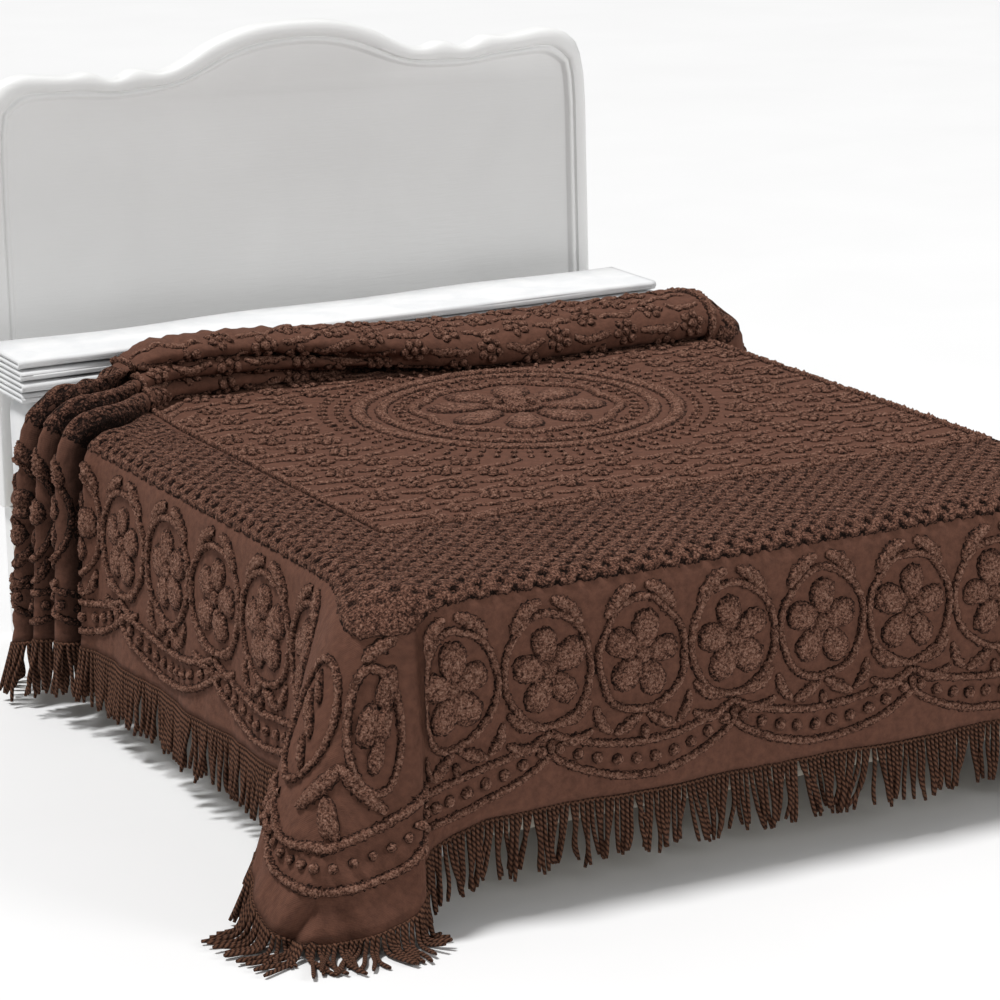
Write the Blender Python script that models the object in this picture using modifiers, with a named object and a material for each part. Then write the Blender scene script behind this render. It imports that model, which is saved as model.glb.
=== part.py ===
"""A chenille bedspread draped over a plain double bed.

The spread lies flat on the mattress, falls 0.42 m down both sides and the foot, stands out
as one rounded fold at each foot corner and is gathered in three folds near the head. The
bed under it is a mattress, a box spring and a base on legs, with a scalloped headboard.
Lengths are in metres. While it is drawn, Y is 0 at the foot face of the spread and grows
towards the head; every point is then moved by -FRAME_SHIFT_Y to centre the whole object.
"""
import math
from collections import namedtuple

import bmesh
import bpy
import numpy as np
from mathutils import Vector

COLLECTION = "chenille_bedspread_on_bed"

# Bedspread
HALF_WIDTH = 0.785          # middle of the bed to the face of the side drop
TOP_Z = 0.61                # middle of the cloth where it lies on the mattress
EDGE_RADIUS = 0.05          # of the cloth over the mattress edge
DROP = 0.45                 # cloth from the start of the edge bend to the hem
CLOTH = 0.003               # thickness
HEM_Z = TOP_Z - EDGE_RADIUS - (DROP - EDGE_RADIUS * math.pi / 2)
SIDE_FLARE = 0.027          # how far the side hems stand out
FOOT_FLARE = 0.012
BEND_X = HALF_WIDTH - EDGE_RADIUS
BEND_Y = EDGE_RADIUS
FOLD_START_Y = 1.28         # where the head folds begin on the flat top
HEM_WAVE = 0.006            # unevenness of the hanging cloth
WAVE_LENGTH = 0.37

# Fringe
FRINGE_LENGTH = 0.112
FRINGE_THICK = 0.004
HEADER = 0.012              # knotted top band of the fringe
TOOTH_PITCH = 0.075
TOOTH_SHORTEST = 0.034      # stretch of hem that carries no bunch of cords if shorter
CORD_Z = 0.006              # middle of the cords that lie on the floor
SEAM_GAP = 0.0003
HEM_GAP = 0.0011            # between the hem and the fringe under it

# Bed
MATTRESS = (1.524, 2.03, 0.27)
MATTRESS_FOOT_Y = 0.012
MATTRESS_CORNER = 0.14
MATTRESS_EDGE = 0.045
BOX_SPRING = (1.50, 2.01, 0.20)
BOX_SPRING_CORNER = 0.06
BOX_SPRING_EDGE = 0.012
RAIL = (0.045, 0.040)       # width and height of the side rails under the box spring
RAIL_FOOT_Y = 0.080
LEG_SIZE = 0.07
LEG_PLACES = (0.20, 1.84)
CLEARANCE = 0.0003          # between the cloth and the mattress it lies on
SHEET_WIDTH = 1.552
SHEET_CLOTH = 0.006         # a doubled sheet
SHEET_PITCH = 0.012         # from the middle of one layer to the next
SHEET_HEAD_Y = 2.032
# Where each turn of the folded sheet ends, from the mattress up, at the foot and the head side
SheetTurn = namedtuple("SheetTurn", "foot_y head_y")
SHEET_TURNS = [
    SheetTurn(1.806, SHEET_HEAD_Y),
    SheetTurn(1.800, SHEET_HEAD_Y - 0.006),
    SheetTurn(1.809, SHEET_HEAD_Y - 0.002),
    SheetTurn(1.815, SHEET_HEAD_Y - 0.008),
]

# Headboard
HEADBOARD_Y = 2.12          # front of the raised rim
HEADBOARD_SHIFT_X = 0.03
HEADBOARD_THICK = 0.05
HEADBOARD_LOW_Z = 0.30
RIM_WIDTH = 0.055
PANEL_RECESS = 0.014
POST = (0.075, 0.045)
POST_INSET = 0.050

FRAME_SHIFT_Y = 1.0113      # puts the origin under the middle of the whole object

# How finely the bedspread is drawn
STEP_SIDE = 0.11
STEP_CORNER = 0.060
STEP_FOOT = 0.10
BEND_STEPS = 3
STRAIGHT_STEPS = 3
FOLD_ROWS = 27
CORNER_ROUNDING = 0.07      # of the top's corner, along each edge

# Hem of the rounded fold at the foot corner, followed from the side drop to the foot drop.
# flat: place on the hem, from the corner of the cloth (minus towards the head)
# guide: place where the cloth leaves the top (minus along the side, plus along the foot)
# out, y, z: place of the hem, out being beyond the middle of the bed
# bend: radius with which that strip of cloth leaves the top
# late: 1 for a strip that leaves the top square to the foot and swings over lower down
HemRow = namedtuple("HemRow", "flat guide out y z bend late")
CORNER_HEM = [
    HemRow(-0.800, -0.350, 0.812, 0.400, 0.188, 0.050, 0.0),
    HemRow(-0.680, -0.275, 0.826, 0.318, 0.178, 0.052, 0.0),
    HemRow(-0.560, -0.215, 0.870, 0.268, 0.166, 0.060, 0.0),
    HemRow(-0.440, -0.165, 0.930, 0.226, 0.146, 0.075, 0.0),
    HemRow(-0.330, -0.125, 0.978, 0.182, 0.114, 0.090, 0.0),
    HemRow(-0.230, -0.092, 1.004, 0.126, 0.078, 0.105, 0.0),
    HemRow(-0.140, -0.066, 1.008, 0.064, 0.048, 0.115, 0.0),
    HemRow(-0.060, -0.046, 0.991, 0.008, 0.031, 0.108, 0.0),
    HemRow(0.000, -0.034, 0.960, -0.027, 0.025, 0.100, 0.0),
    HemRow(0.070, -0.024, 0.900, -0.050, 0.028, 0.080, 0.2),
    HemRow(0.140, -0.015, 0.836, -0.066, 0.042, 0.060, 0.6),
    HemRow(0.190, -0.008, 0.788, -0.076, 0.058, 0.050, 0.9),
    HemRow(0.215, -0.004, 0.767, -0.077, 0.068, 0.048, 1.0),
    HemRow(0.240, 0.001, 0.755, -0.066, 0.078, 0.047, 1.0),
    HemRow(0.300, 0.011, 0.751, -0.042, 0.098, 0.047, 1.0),
    HemRow(0.370, 0.023, 0.740, -0.023, 0.126, 0.048, 1.0),
    HemRow(0.450, 0.042, 0.715, -0.013, 0.155, 0.050, 1.0),
    HemRow(0.570, 0.120, 0.615, -0.012, 0.188, 0.050, 0.0),
]

# Section of the head folds, from the flat top to the loose edge of the cloth.
# y: place along the bed; up: height over the flat cloth, square to it on the side drops
# side, top and far: at the left edge, on the left half of the bed, at the right edge
# hem_y, hem_low: how far the left drop moves headward and hangs lower at its hem
FoldRow = namedtuple("FoldRow", "side_y side_up hem_y hem_low top_y top_up far_y far_up")
HEAD_FOLDS = [
    FoldRow(1.280, 0.000, 0.000, 0.000, 1.280, 0.000, 1.280, 0.000),
    FoldRow(1.355, 0.000, 0.000, 0.000, 1.500, 0.000, 1.400, 0.000),
    FoldRow(1.418, 0.002, -0.005, 0.000, 1.700, 0.002, 1.500, 0.001),
    FoldRow(1.428, 0.010, -0.008, 0.000, 1.712, 0.009, 1.510, 0.002),
    FoldRow(1.418, 0.018, -0.010, 0.000, 1.700, 0.015, 1.520, 0.003),
    FoldRow(1.408, 0.022, -0.012, 0.000, 1.655, 0.019, 1.530, 0.004),
    FoldRow(1.404, 0.031, -0.012, 0.002, 1.638, 0.028, 1.540, 0.005),
    FoldRow(1.420, 0.040, -0.010, 0.004, 1.652, 0.036, 1.550, 0.006),
    FoldRow(1.465, 0.042, -0.004, 0.008, 1.712, 0.040, 1.570, 0.007),
    FoldRow(1.500, 0.030, 0.000, 0.012, 1.724, 0.046, 1.590, 0.008),
    FoldRow(1.512, 0.014, 0.002, 0.016, 1.712, 0.052, 1.610, 0.009),
    FoldRow(1.538, 0.010, 0.004, 0.020, 1.660, 0.056, 1.630, 0.010),
    FoldRow(1.552, 0.024, 0.004, 0.024, 1.642, 0.064, 1.648, 0.012),
    FoldRow(1.570, 0.038, 0.006, 0.028, 1.656, 0.072, 1.662, 0.014),
    FoldRow(1.606, 0.041, 0.010, 0.034, 1.716, 0.075, 1.678, 0.017),
    FoldRow(1.630, 0.026, 0.014, 0.040, 1.730, 0.080, 1.684, 0.024),
    FoldRow(1.643, 0.020, 0.022, 0.048, 1.720, 0.088, 1.670, 0.030),
    FoldRow(1.655, 0.021, 0.030, 0.058, 1.672, 0.094, 1.560, 0.030),
    FoldRow(1.662, 0.029, 0.044, 0.066, 1.650, 0.103, 1.535, 0.044),
    FoldRow(1.676, 0.036, 0.058, 0.074, 1.662, 0.112, 1.552, 0.060),
    FoldRow(1.706, 0.037, 0.074, 0.084, 1.712, 0.121, 1.640, 0.072),
    FoldRow(1.730, 0.028, 0.088, 0.092, 1.760, 0.116, 1.722, 0.070),
    FoldRow(1.738, 0.014, 0.096, 0.096, 1.782, 0.102, 1.765, 0.056),
]
SIDE_UP_BLEND = (-0.75, -0.57)      # where the heights of the side section give way
SIDE_Y_BLEND = (-0.70, -0.50)       # where its places along the bed give way
FAR_Y_BLEND = (-0.30, 0.20)         # the same, from the left section to the right one
FAR_UP_BLEND = (0.14, 0.60)
TOP_COLUMNS = (
    -0.705, -0.675, -0.645, -0.615, -0.580, -0.540, -0.490, -0.400, -0.260, -0.120,
    0.020, 0.150, 0.280, 0.420, 0.580,
)

# Top outline of the headboard, from the middle outwards
OutlineRow = namedtuple("OutlineRow", "x z")
HEADBOARD_OUTLINE = [
    OutlineRow(0.000, 1.325),
    OutlineRow(0.100, 1.318),
    OutlineRow(0.200, 1.288),
    OutlineRow(0.270, 1.252),
    OutlineRow(0.322, 1.236),
    OutlineRow(0.368, 1.246),
    OutlineRow(0.395, 1.244),
    OutlineRow(0.425, 1.228),
    OutlineRow(0.455, 1.236),
    OutlineRow(0.482, 1.248),
    OutlineRow(0.540, 1.246),
    OutlineRow(0.600, 1.252),
    OutlineRow(0.640, 1.256),
    OutlineRow(0.682, 1.247),
    OutlineRow(0.712, 1.228),
    OutlineRow(0.732, 1.192),
    OutlineRow(0.741, 1.142),
    OutlineRow(0.744, 1.080),
]


def clear_scene():
    """Remove every object, so that only this model remains."""
    for thing in list(bpy.data.objects):
        bpy.data.objects.remove(thing, do_unlink=True)


def make_collection():
    """Return the collection that holds the parts."""
    collection = bpy.data.collections.new(COLLECTION)
    bpy.context.scene.collection.children.link(collection)
    return collection


def make_material(name, colour, roughness, metallic=0.0):
    """Return a Principled material of one linear colour."""
    material = bpy.data.materials.new(name)
    material.use_nodes = True
    shader = material.node_tree.nodes["Principled BSDF"]
    shader.inputs["Base Color"].default_value = (*colour, 1.0)
    shader.inputs["Roughness"].default_value = roughness
    shader.inputs["Metallic"].default_value = metallic
    return material


def add_part(name, mesh_data, material, collection):
    """Link a mesh as a named part in its own material."""
    part = bpy.data.objects.new(name, mesh_data)
    mesh_data.materials.clear()
    mesh_data.materials.append(material)
    collection.objects.link(part)
    return part


def smooth(value, low, high):
    """Ease from 0 at low to 1 at high."""
    t = min(max((value - low) / (high - low), 0.0), 1.0)
    return t * t * (3.0 - 2.0 * t)


def spline_value(knots, values, at):
    """Read a smooth curve through knots and values, with no overshoot at flat stretches."""
    knots, values = np.asarray(knots), np.asarray(values)
    steps = np.diff(knots)
    slopes = np.diff(values) / steps
    tangents = np.empty(len(values))
    tangents[0], tangents[-1] = slopes[0], slopes[-1]
    tangents[1:-1] = (slopes[:-1] * steps[1:] + slopes[1:] * steps[:-1]) / (steps[:-1] + steps[1:])
    i = int(np.clip(np.searchsorted(knots, at, side="right") - 1, 0, len(steps) - 1))
    t = (at - knots[i]) / steps[i]
    return float(
        (2 * t**3 - 3 * t**2 + 1) * values[i]
        + (t**3 - 2 * t**2 + t) * steps[i] * tangents[i]
        + (3 * t**2 - 2 * t**3) * values[i + 1]
        + (t**3 - t**2) * steps[i] * tangents[i + 1]
    )


def rib_point(start, hem, bend, fraction):
    """Return a point of one strip of cloth that leaves the top at start and ends at hem.

    The strip runs level at start, turns down round a circle of radius bend, then runs
    straight to the hem.
    """
    way = Vector((hem[0] - start[0], hem[1] - start[1]))
    reach = max(way.length, 1e-6)
    drop = start[2] - hem[2] - bend
    slant = math.hypot(reach, drop)
    turn = math.atan2(drop, reach) + math.asin(min(bend / slant, 1.0))
    arc = bend * turn
    straight = math.sqrt(max(slant**2 - bend**2, 0.0))
    along = fraction * (arc + straight)
    if along < arc:
        out, down = bend * math.sin(along / bend), bend * (1.0 - math.cos(along / bend))
    else:
        rest = along - arc
        out = bend * math.sin(turn) + rest * math.cos(turn)
        down = bend * (1.0 - math.cos(turn)) + rest * math.sin(turn)
    heading = way / reach
    return Vector((start[0] + heading.x * out, start[1] + heading.y * out, start[2] - down))


def hem_wave(along):
    """Return how far the hanging hem stands out of its plane at one place."""
    return HEM_WAVE * math.sin(2.0 * math.pi * along / WAVE_LENGTH)


def guide_point(guide):
    """Return the point where the cloth leaves the top at the left foot corner."""
    inward = [max(value, 0.0) for value in (guide, -guide)]
    if abs(guide) < CORNER_ROUNDING:
        inward = [(value + CORNER_ROUNDING) ** 2 / (4 * CORNER_ROUNDING) for value in (guide, -guide)]
    return Vector((-BEND_X + inward[0], BEND_Y + inward[1], TOP_Z))


def corner_rib(flat):
    """Return the start, hem and bend of the corner's strip at one place on the hem."""
    knots = [row.flat for row in CORNER_HEM]

    def read(name):
        return spline_value(knots, [getattr(row, name) for row in CORNER_HEM], flat)

    hem = Vector((-read("out"), read("y"), read("z")))
    return guide_point(read("guide")), hem, read("bend"), min(max(read("late"), 0.0), 1.0)


def steps_between(low, high, longest):
    """Return evenly spaced values from low to high, neither end left out."""
    return np.linspace(low, high, max(1, round(abs(high - low) / longest)) + 1)


def left_ribs():
    """Return the strips of the left half, from the head folds to the middle of the foot."""
    first, last = CORNER_HEM[0], CORNER_HEM[-1]
    ribs = []
    for y in steps_between(FOLD_START_Y, first.y, STEP_SIDE)[:-1]:
        calm = smooth(FOLD_START_Y - y, 0.0, 0.15) * smooth(y - first.y, 0.0, 0.15)
        hem = Vector((-HALF_WIDTH - SIDE_FLARE - calm * hem_wave(y), y, HEM_Z))
        ribs.append((Vector((-BEND_X, y, TOP_Z)), hem, EDGE_RADIUS, 0.0))
    flats = [row.flat for row in CORNER_HEM]
    for low, high in zip(flats, flats[1:]):
        ribs.extend(corner_rib(flat) for flat in steps_between(low, high, STEP_CORNER)[:-1])
    for x in steps_between(-last.out, 0.0, STEP_FOOT):
        calm = smooth(x + last.out, 0.0, 0.15)
        hem = Vector((x, -FOOT_FLARE - calm * hem_wave(x), HEM_Z))
        ribs.append((Vector((x, BEND_Y, TOP_Z)), hem, EDGE_RADIUS, 0.0))
    return ribs


def mirrored(rib):
    """Return the strip on the other side of the bed."""
    start, hem, bend, late = rib
    return Vector((-start.x, *start[1:])), Vector((-hem.x, *hem[1:])), bend, late


def rib_fractions(start, hem, bend):
    """Return the places down one strip where the cloth has points."""
    way = Vector((hem.x - start.x, hem.y - start.y))
    drop = start.z - hem.z - bend
    slant = math.hypot(way.length, drop)
    turn = math.atan2(drop, way.length) + math.asin(min(bend / slant, 1.0))
    arc = bend * turn
    whole = arc + math.sqrt(max(slant**2 - bend**2, 0.0))
    bends = [arc / whole * i / BEND_STEPS for i in range(BEND_STEPS)]
    return bends + [
        (arc + (whole - arc) * i / STRAIGHT_STEPS) / whole for i in range(STRAIGHT_STEPS + 1)
    ]


def rib_points(rib):
    """Return the points down one strip, from the top to the hem."""
    start, hem, bend, late = rib
    square = Vector((start.x, -FOOT_FLARE, hem.z))
    points = []
    for fraction in rib_fractions(start, hem, bend):
        point = rib_point(start, hem, bend, fraction)
        swing = late * (1.0 - smooth(fraction, 0.12, 1.0))
        points.append(point.lerp(rib_point(start, square, bend, fraction), swing))
    return points


def fold_section(progress):
    """Return the fields of the head folds at one place along their section."""
    knots = list(range(len(HEAD_FOLDS)))
    return FoldRow(*(
        spline_value(knots, [getattr(row, name) for row in HEAD_FOLDS], progress)
        for name in FoldRow._fields
    ))


def fold_point(base, normal, depth, section):
    """Return a point of the head folds over one point of the flat cloth's section.

    depth is 0 on the top of the bed and 1 at a hem.
    """
    y = section.top_y + (section.far_y - section.top_y) * smooth(base.x, *FAR_Y_BLEND)
    up = section.top_up + (section.far_up - section.top_up) * smooth(base.x, *FAR_UP_BLEND)
    y += (section.side_y - y) * (1.0 - smooth(base.x, *SIDE_Y_BLEND))
    up += (section.side_up - up) * (1.0 - smooth(base.x, *SIDE_UP_BLEND))
    left = depth if base.x < 0.0 else 0.0
    y += section.hem_y * left
    return Vector((base.x + normal.x * up, y, base.z + normal.z * up - section.hem_low * left))


def bedspread_grid():
    """Return the points of the side and foot drops and of the head folds.

    The drops are a list of strips from the left side round the foot to the right side.
    The folds are a list of rows from the left hem over the top to the right hem.
    """
    half = left_ribs()
    ribs = half + [mirrored(rib) for rib in reversed(half[:-1])]
    drops = [rib_points(rib) for rib in ribs]
    depths = rib_fractions(*half[0][:3])
    down = drops[0]
    base = list(reversed(down))
    depth = list(reversed(depths))
    for x in TOP_COLUMNS:
        base.append(Vector((x, FOLD_START_Y, TOP_Z)))
        depth.append(0.0)
    base.extend(Vector((-point.x, *point[1:])) for point in down)
    depth.extend(depths)
    normals = []
    for i, point in enumerate(base):
        before, after = base[max(i - 1, 0)], base[min(i + 1, len(base) - 1)]
        along = (after - before).normalized()
        normals.append(Vector((-along.z, 0.0, along.x)))
    folds = []
    for progress in np.linspace(0.0, len(HEAD_FOLDS) - 1.0, FOLD_ROWS + 1):
        section = fold_section(progress)
        folds.append([fold_point(p, n, d, section) for p, n, d in zip(base, normals, depth)])
    folds[0] = base
    return drops, folds


def solidify(part, thickness):
    """Give a sheet its thickness, half on each face."""
    modifier = part.modifiers.new("Thickness", "SOLIDIFY")
    modifier.thickness = thickness
    modifier.offset = 0.0
    modifier.use_even_offset = False


def shifted(point):
    """Return a point moved into the frame of the finished object."""
    return Vector((point[0], point[1] - FRAME_SHIFT_Y, point[2]))


def build_bedspread(collection, material, drops, folds):
    """Build the cloth as one thin draped solid."""
    bm = bmesh.new()
    strips = [[bm.verts.new(shifted(p)) for p in strip] for strip in drops]
    rows = []
    for i, row in enumerate(folds):
        if i == 0:
            down = len(drops[0])
            middle = [bm.verts.new(shifted(p)) for p in row[down:-down]]
            rows.append(list(reversed(strips[0])) + middle + strips[-1])
        else:
            rows.append([bm.verts.new(shifted(p)) for p in row])
    for left, right in zip(strips, strips[1:]):
        for k in range(len(left) - 1):
            bm.faces.new((left[k], left[k + 1], right[k + 1], right[k]))
    for low, high in zip(rows, rows[1:]):
        for k in range(len(low) - 1):
            bm.faces.new((low[k], low[k + 1], high[k + 1], high[k]))
    top = [strip[0] for strip in strips] + list(reversed(rows[0][len(drops[0]):-len(drops[0])]))
    bm.faces.new(top)
    bmesh.ops.recalc_face_normals(bm, faces=bm.faces[:])
    mesh_data = bpy.data.meshes.new("bedspread")
    bm.to_mesh(mesh_data)
    bm.free()
    mesh_data.shade_smooth()
    part = add_part("bedspread", mesh_data, material, collection)
    solidify(part, CLOTH)
    return part


def hem_line(drops, folds):
    """Return the hem and the way the cloth runs off it, from the left head edge round."""
    ends = [(row[0], row[1]) for row in reversed(folds[1:])]
    ends += [(strip[-1], strip[-2]) for strip in drops]
    ends += [(row[-1], row[-2]) for row in folds[1:]]
    tips = [tip for tip, _ in ends]
    hem = []
    for i, (tip, before) in enumerate(ends):
        along = (tips[min(i + 1, len(tips) - 1)] - tips[max(i - 1, 0)]).normalized()
        way = (tip - before).normalized()
        outward = Vector((along.y, -along.x, 0.0)).normalized()
        hem.append((tip, way, outward, HEM_GAP / max(along.cross(way).length, 0.35)))
    return hem


def cord_point(root, heading, outward, length):
    """Return the point at a length along a cord hung from the hem or lying on the floor."""
    point = root + heading * length
    if point.z >= CORD_Z or heading.z >= 0.0:
        return point
    hanging = max((root.z - CORD_Z) / -heading.z, 0.0)
    point = root + heading * hanging + outward * (length - hanging)
    point.z = CORD_Z
    return point


def build_fringe(collection, material, hem):
    """Build the cord fringe as one comb hung 0.3 mm under the hem."""
    bm = bmesh.new()

    def column(pair, share, lengths):
        (tip_a, way_a, out_a, gap_a), (tip_b, way_b, out_b, gap_b) = pair
        root, heading = tip_a.lerp(tip_b, share), way_a.lerp(way_b, share).normalized()
        outward = out_a.lerp(out_b, share).normalized()
        gap = gap_a + (gap_b - gap_a) * share
        return [
            bm.verts.new(shifted(cord_point(root, heading, outward, gap + far))) for far in lengths
        ]

    header = (0.0, HEADER)
    whole = header + (FRINGE_LENGTH * 0.55, FRINGE_LENGTH)
    last = column(list(zip(hem, hem[1:]))[0], 0.0, header)
    for pair in zip(hem, hem[1:]):
        stretch = (pair[1][0] - pair[0][0]).length
        count = max(1, round(stretch / TOOTH_PITCH)) if stretch > TOOTH_SHORTEST else 0
        for i in range(count):
            left = column(pair, (i + 0.28) / count, whole)
            right = column(pair, (i + 0.72) / count, whole)
            bm.faces.new((last[0], last[1], left[1], left[0]))
            for k in range(3):
                bm.faces.new((left[k], left[k + 1], right[k + 1], right[k]))
            last = right
        end = column(pair, 1.0, header)
        bm.faces.new((last[0], last[1], end[1], end[0]))
        last = end
    bmesh.ops.recalc_face_normals(bm, faces=bm.faces[:])
    mesh_data = bpy.data.meshes.new("fringe")
    bm.to_mesh(mesh_data)
    bm.free()
    mesh_data.shade_smooth()
    part = add_part("fringe", mesh_data, material, collection)
    solidify(part, FRINGE_THICK)
    return part


def rounded_block(
    name, size, foot_y, low_z, corner, edge, material, collection, middle_x=0.0
):
    """Build a block with rounded upright edges and softened top and bottom edges."""
    bm = bmesh.new()
    bmesh.ops.create_cube(bm, size=1.0)
    bmesh.ops.scale(bm, vec=size, verts=bm.verts[:])
    upright = [e for e in bm.edges if abs(e.verts[0].co.z - e.verts[1].co.z) > size[2] / 2]
    if corner > 0.0:
        bmesh.ops.bevel(
            bm, geom=upright, offset=corner, segments=5, profile=0.5, affect="EDGES", material=-1
        )
    if edge > 0.0:
        level = [e for e in bm.edges if abs(e.verts[0].co.z - e.verts[1].co.z) < 1e-6]
        bmesh.ops.bevel(
            bm, geom=level, offset=edge, segments=3, profile=0.5, affect="EDGES", material=-1
        )
    centre = Vector((middle_x, foot_y + size[1] / 2, low_z + size[2] / 2))
    bmesh.ops.translate(bm, vec=shifted(centre), verts=bm.verts[:])
    mesh_data = bpy.data.meshes.new(name)
    bm.to_mesh(mesh_data)
    bm.free()
    return add_part(name, mesh_data, material, collection)


def folded_line(low_z):
    """Return the back-and-forth section of the folded sheet as a line of (y, z) points."""
    radius = SHEET_PITCH / 2
    line = [(SHEET_TURNS[0].head_y, low_z)]
    for i, turn in enumerate(SHEET_TURNS):
        level = low_z + 2 * i * SHEET_PITCH
        ends = [(turn.foot_y, level, -1)]
        if i < len(SHEET_TURNS) - 1:
            ends.append((turn.head_y, level + SHEET_PITCH, 1))
        for y, z, way in ends:
            for angle in (-90, -30, 30, 90):
                along = math.radians(angle)
                line.append((
                    y + way * radius * (math.cos(along) - 1.0),
                    z + radius * (1.0 + math.sin(along)),
                ))
    line.append((SHEET_TURNS[-1].head_y, line[-1][1]))
    return line


def build_folded_sheet(low_z, material, collection):
    """Build the white sheet that lies folded under the pillows, as one section of its layers."""
    bm = bmesh.new()
    line = folded_line(low_z + SHEET_CLOTH / 2)
    left = [bm.verts.new(shifted((-SHEET_WIDTH / 2, y, z))) for y, z in line]
    right = [bm.verts.new(shifted((SHEET_WIDTH / 2, y, z))) for y, z in line]
    for i in range(len(line) - 1):
        bm.faces.new((left[i], left[i + 1], right[i + 1], right[i]))
    bmesh.ops.recalc_face_normals(bm, faces=bm.faces[:])
    mesh_data = bpy.data.meshes.new("folded_sheet")
    bm.to_mesh(mesh_data)
    bm.free()
    mesh_data.shade_smooth()
    part = add_part("folded_sheet", mesh_data, material, collection)
    solidify(part, SHEET_CLOTH)
    return part


def headboard_top(x_from_middle):
    """Return the height of the headboard's outline."""
    knots = [row.x for row in HEADBOARD_OUTLINE]
    return spline_value(knots, [row.z for row in HEADBOARD_OUTLINE], x_from_middle)


def build_headboard(collection, material):
    """Build the scalloped headboard with its sunk panel as one solid."""
    xs = [row.x for row in HEADBOARD_OUTLINE]
    fine = []
    for low, high in zip(xs, xs[1:]):
        fine.extend(steps_between(low, high, 0.03)[:-1])
    fine.append(xs[-1])
    right = [(x, headboard_top(x)) for x in fine] + [(xs[-1] + 0.002, HEADBOARD_LOW_Z)]
    outline = right + [(-x, z) for x, z in reversed(right[1:])]
    bm = bmesh.new()
    front = [
        bm.verts.new(shifted((x + HEADBOARD_SHIFT_X, HEADBOARD_Y, z))) for x, z in outline
    ]
    face = bm.faces.new(front)
    made = bmesh.ops.extrude_face_region(bm, geom=[face])
    moved = [item for item in made["geom"] if isinstance(item, bmesh.types.BMVert)]
    bmesh.ops.translate(bm, vec=(0.0, HEADBOARD_THICK, 0.0), verts=moved)
    bmesh.ops.recalc_face_normals(bm, faces=bm.faces[:])
    facing = [f for f in bm.faces if f.normal.y < -0.9]
    bmesh.ops.inset_region(bm, faces=facing, thickness=RIM_WIDTH, depth=-PANEL_RECESS)
    mesh_data = bpy.data.meshes.new("headboard")
    bm.to_mesh(mesh_data)
    bm.free()
    return add_part("headboard", mesh_data, material, collection)


def build_bed(collection, fabric_white, ticking, painted):
    """Build the mattress, the sheet that shows, the box spring, the legs and the headboard."""
    mattress_z = TOP_Z - CLOTH / 2 - CLEARANCE - MATTRESS[2]
    rounded_block(
        "mattress", MATTRESS, MATTRESS_FOOT_Y, mattress_z, MATTRESS_CORNER, MATTRESS_EDGE,
        fabric_white, collection,
    )
    build_folded_sheet(mattress_z + MATTRESS[2] + SEAM_GAP, fabric_white, collection)
    spring_z = mattress_z - SEAM_GAP - BOX_SPRING[2]
    spring_y = MATTRESS_FOOT_Y + (MATTRESS[1] - BOX_SPRING[1]) / 2
    rounded_block(
        "box_spring", BOX_SPRING, spring_y, spring_z, BOX_SPRING_CORNER, BOX_SPRING_EDGE,
        ticking, collection,
    )
    rail_z = spring_z - SEAM_GAP - RAIL[1]
    post_y = HEADBOARD_Y + (HEADBOARD_THICK - POST[1]) / 2
    rail_length = post_y - SEAM_GAP - RAIL_FOOT_Y
    for side, name in ((-1, "left"), (1, "right")):
        x = HEADBOARD_SHIFT_X + side * (HEADBOARD_OUTLINE[-1].x - POST_INSET)
        rounded_block(
            f"rail_{name}", (RAIL[0], rail_length, RAIL[1]), RAIL_FOOT_Y, rail_z,
            0.0, 0.003, painted, collection, x,
        )
        rounded_block(
            f"headboard_post_{name}", (*POST, HEADBOARD_LOW_Z - SEAM_GAP), post_y,
            0.0, 0.0, 0.003, painted, collection, x,
        )
        for end, place in zip(("foot", "head"), LEG_PLACES):
            rounded_block(
                f"leg_{end}_{name}", (LEG_SIZE, LEG_SIZE, rail_z - SEAM_GAP),
                place - LEG_SIZE / 2, 0.0, 0.0, 0.003, painted, collection, x,
            )
    build_headboard(collection, painted)


def main():
    """Build every piece of the bedspread and of the bed."""
    clear_scene()
    collection = make_collection()
    chenille = make_material("brown_chenille", (0.155, 0.080, 0.058), 0.95)
    cord = make_material("brown_cord", (0.130, 0.066, 0.048), 0.95)
    white = make_material("white_cotton", (0.80, 0.80, 0.80), 0.9)
    ticking = make_material("cream_ticking", (0.66, 0.62, 0.55), 0.9)
    painted = make_material("white_paint", (0.78, 0.77, 0.74), 0.5)
    drops, folds = bedspread_grid()
    build_bedspread(collection, chenille, drops, folds)
    build_fringe(collection, cord, hem_line(drops, folds))
    build_bed(collection, white, ticking, painted)


main()
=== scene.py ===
"""Looks of a chenille bedspread that lies on a plain double bed.

Every tufted line, petal, leaf and knot has its place on the flat cloth, U across the bed and V
from the foot hem towards the head, in metres. The drape then says where each place lies once
the cloth is on the bed, and the tufting goes with it. Y is 0 at the foot face of the spread
while the drape is worked out, and every point is then moved by -FRAME_SHIFT_Y.
"""
import logging
import math
from dataclasses import dataclass, field
from enum import Enum
from typing import Any, NamedTuple

import bmesh
import bpy
import numpy as np
from mathutils import Matrix, Vector


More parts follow.
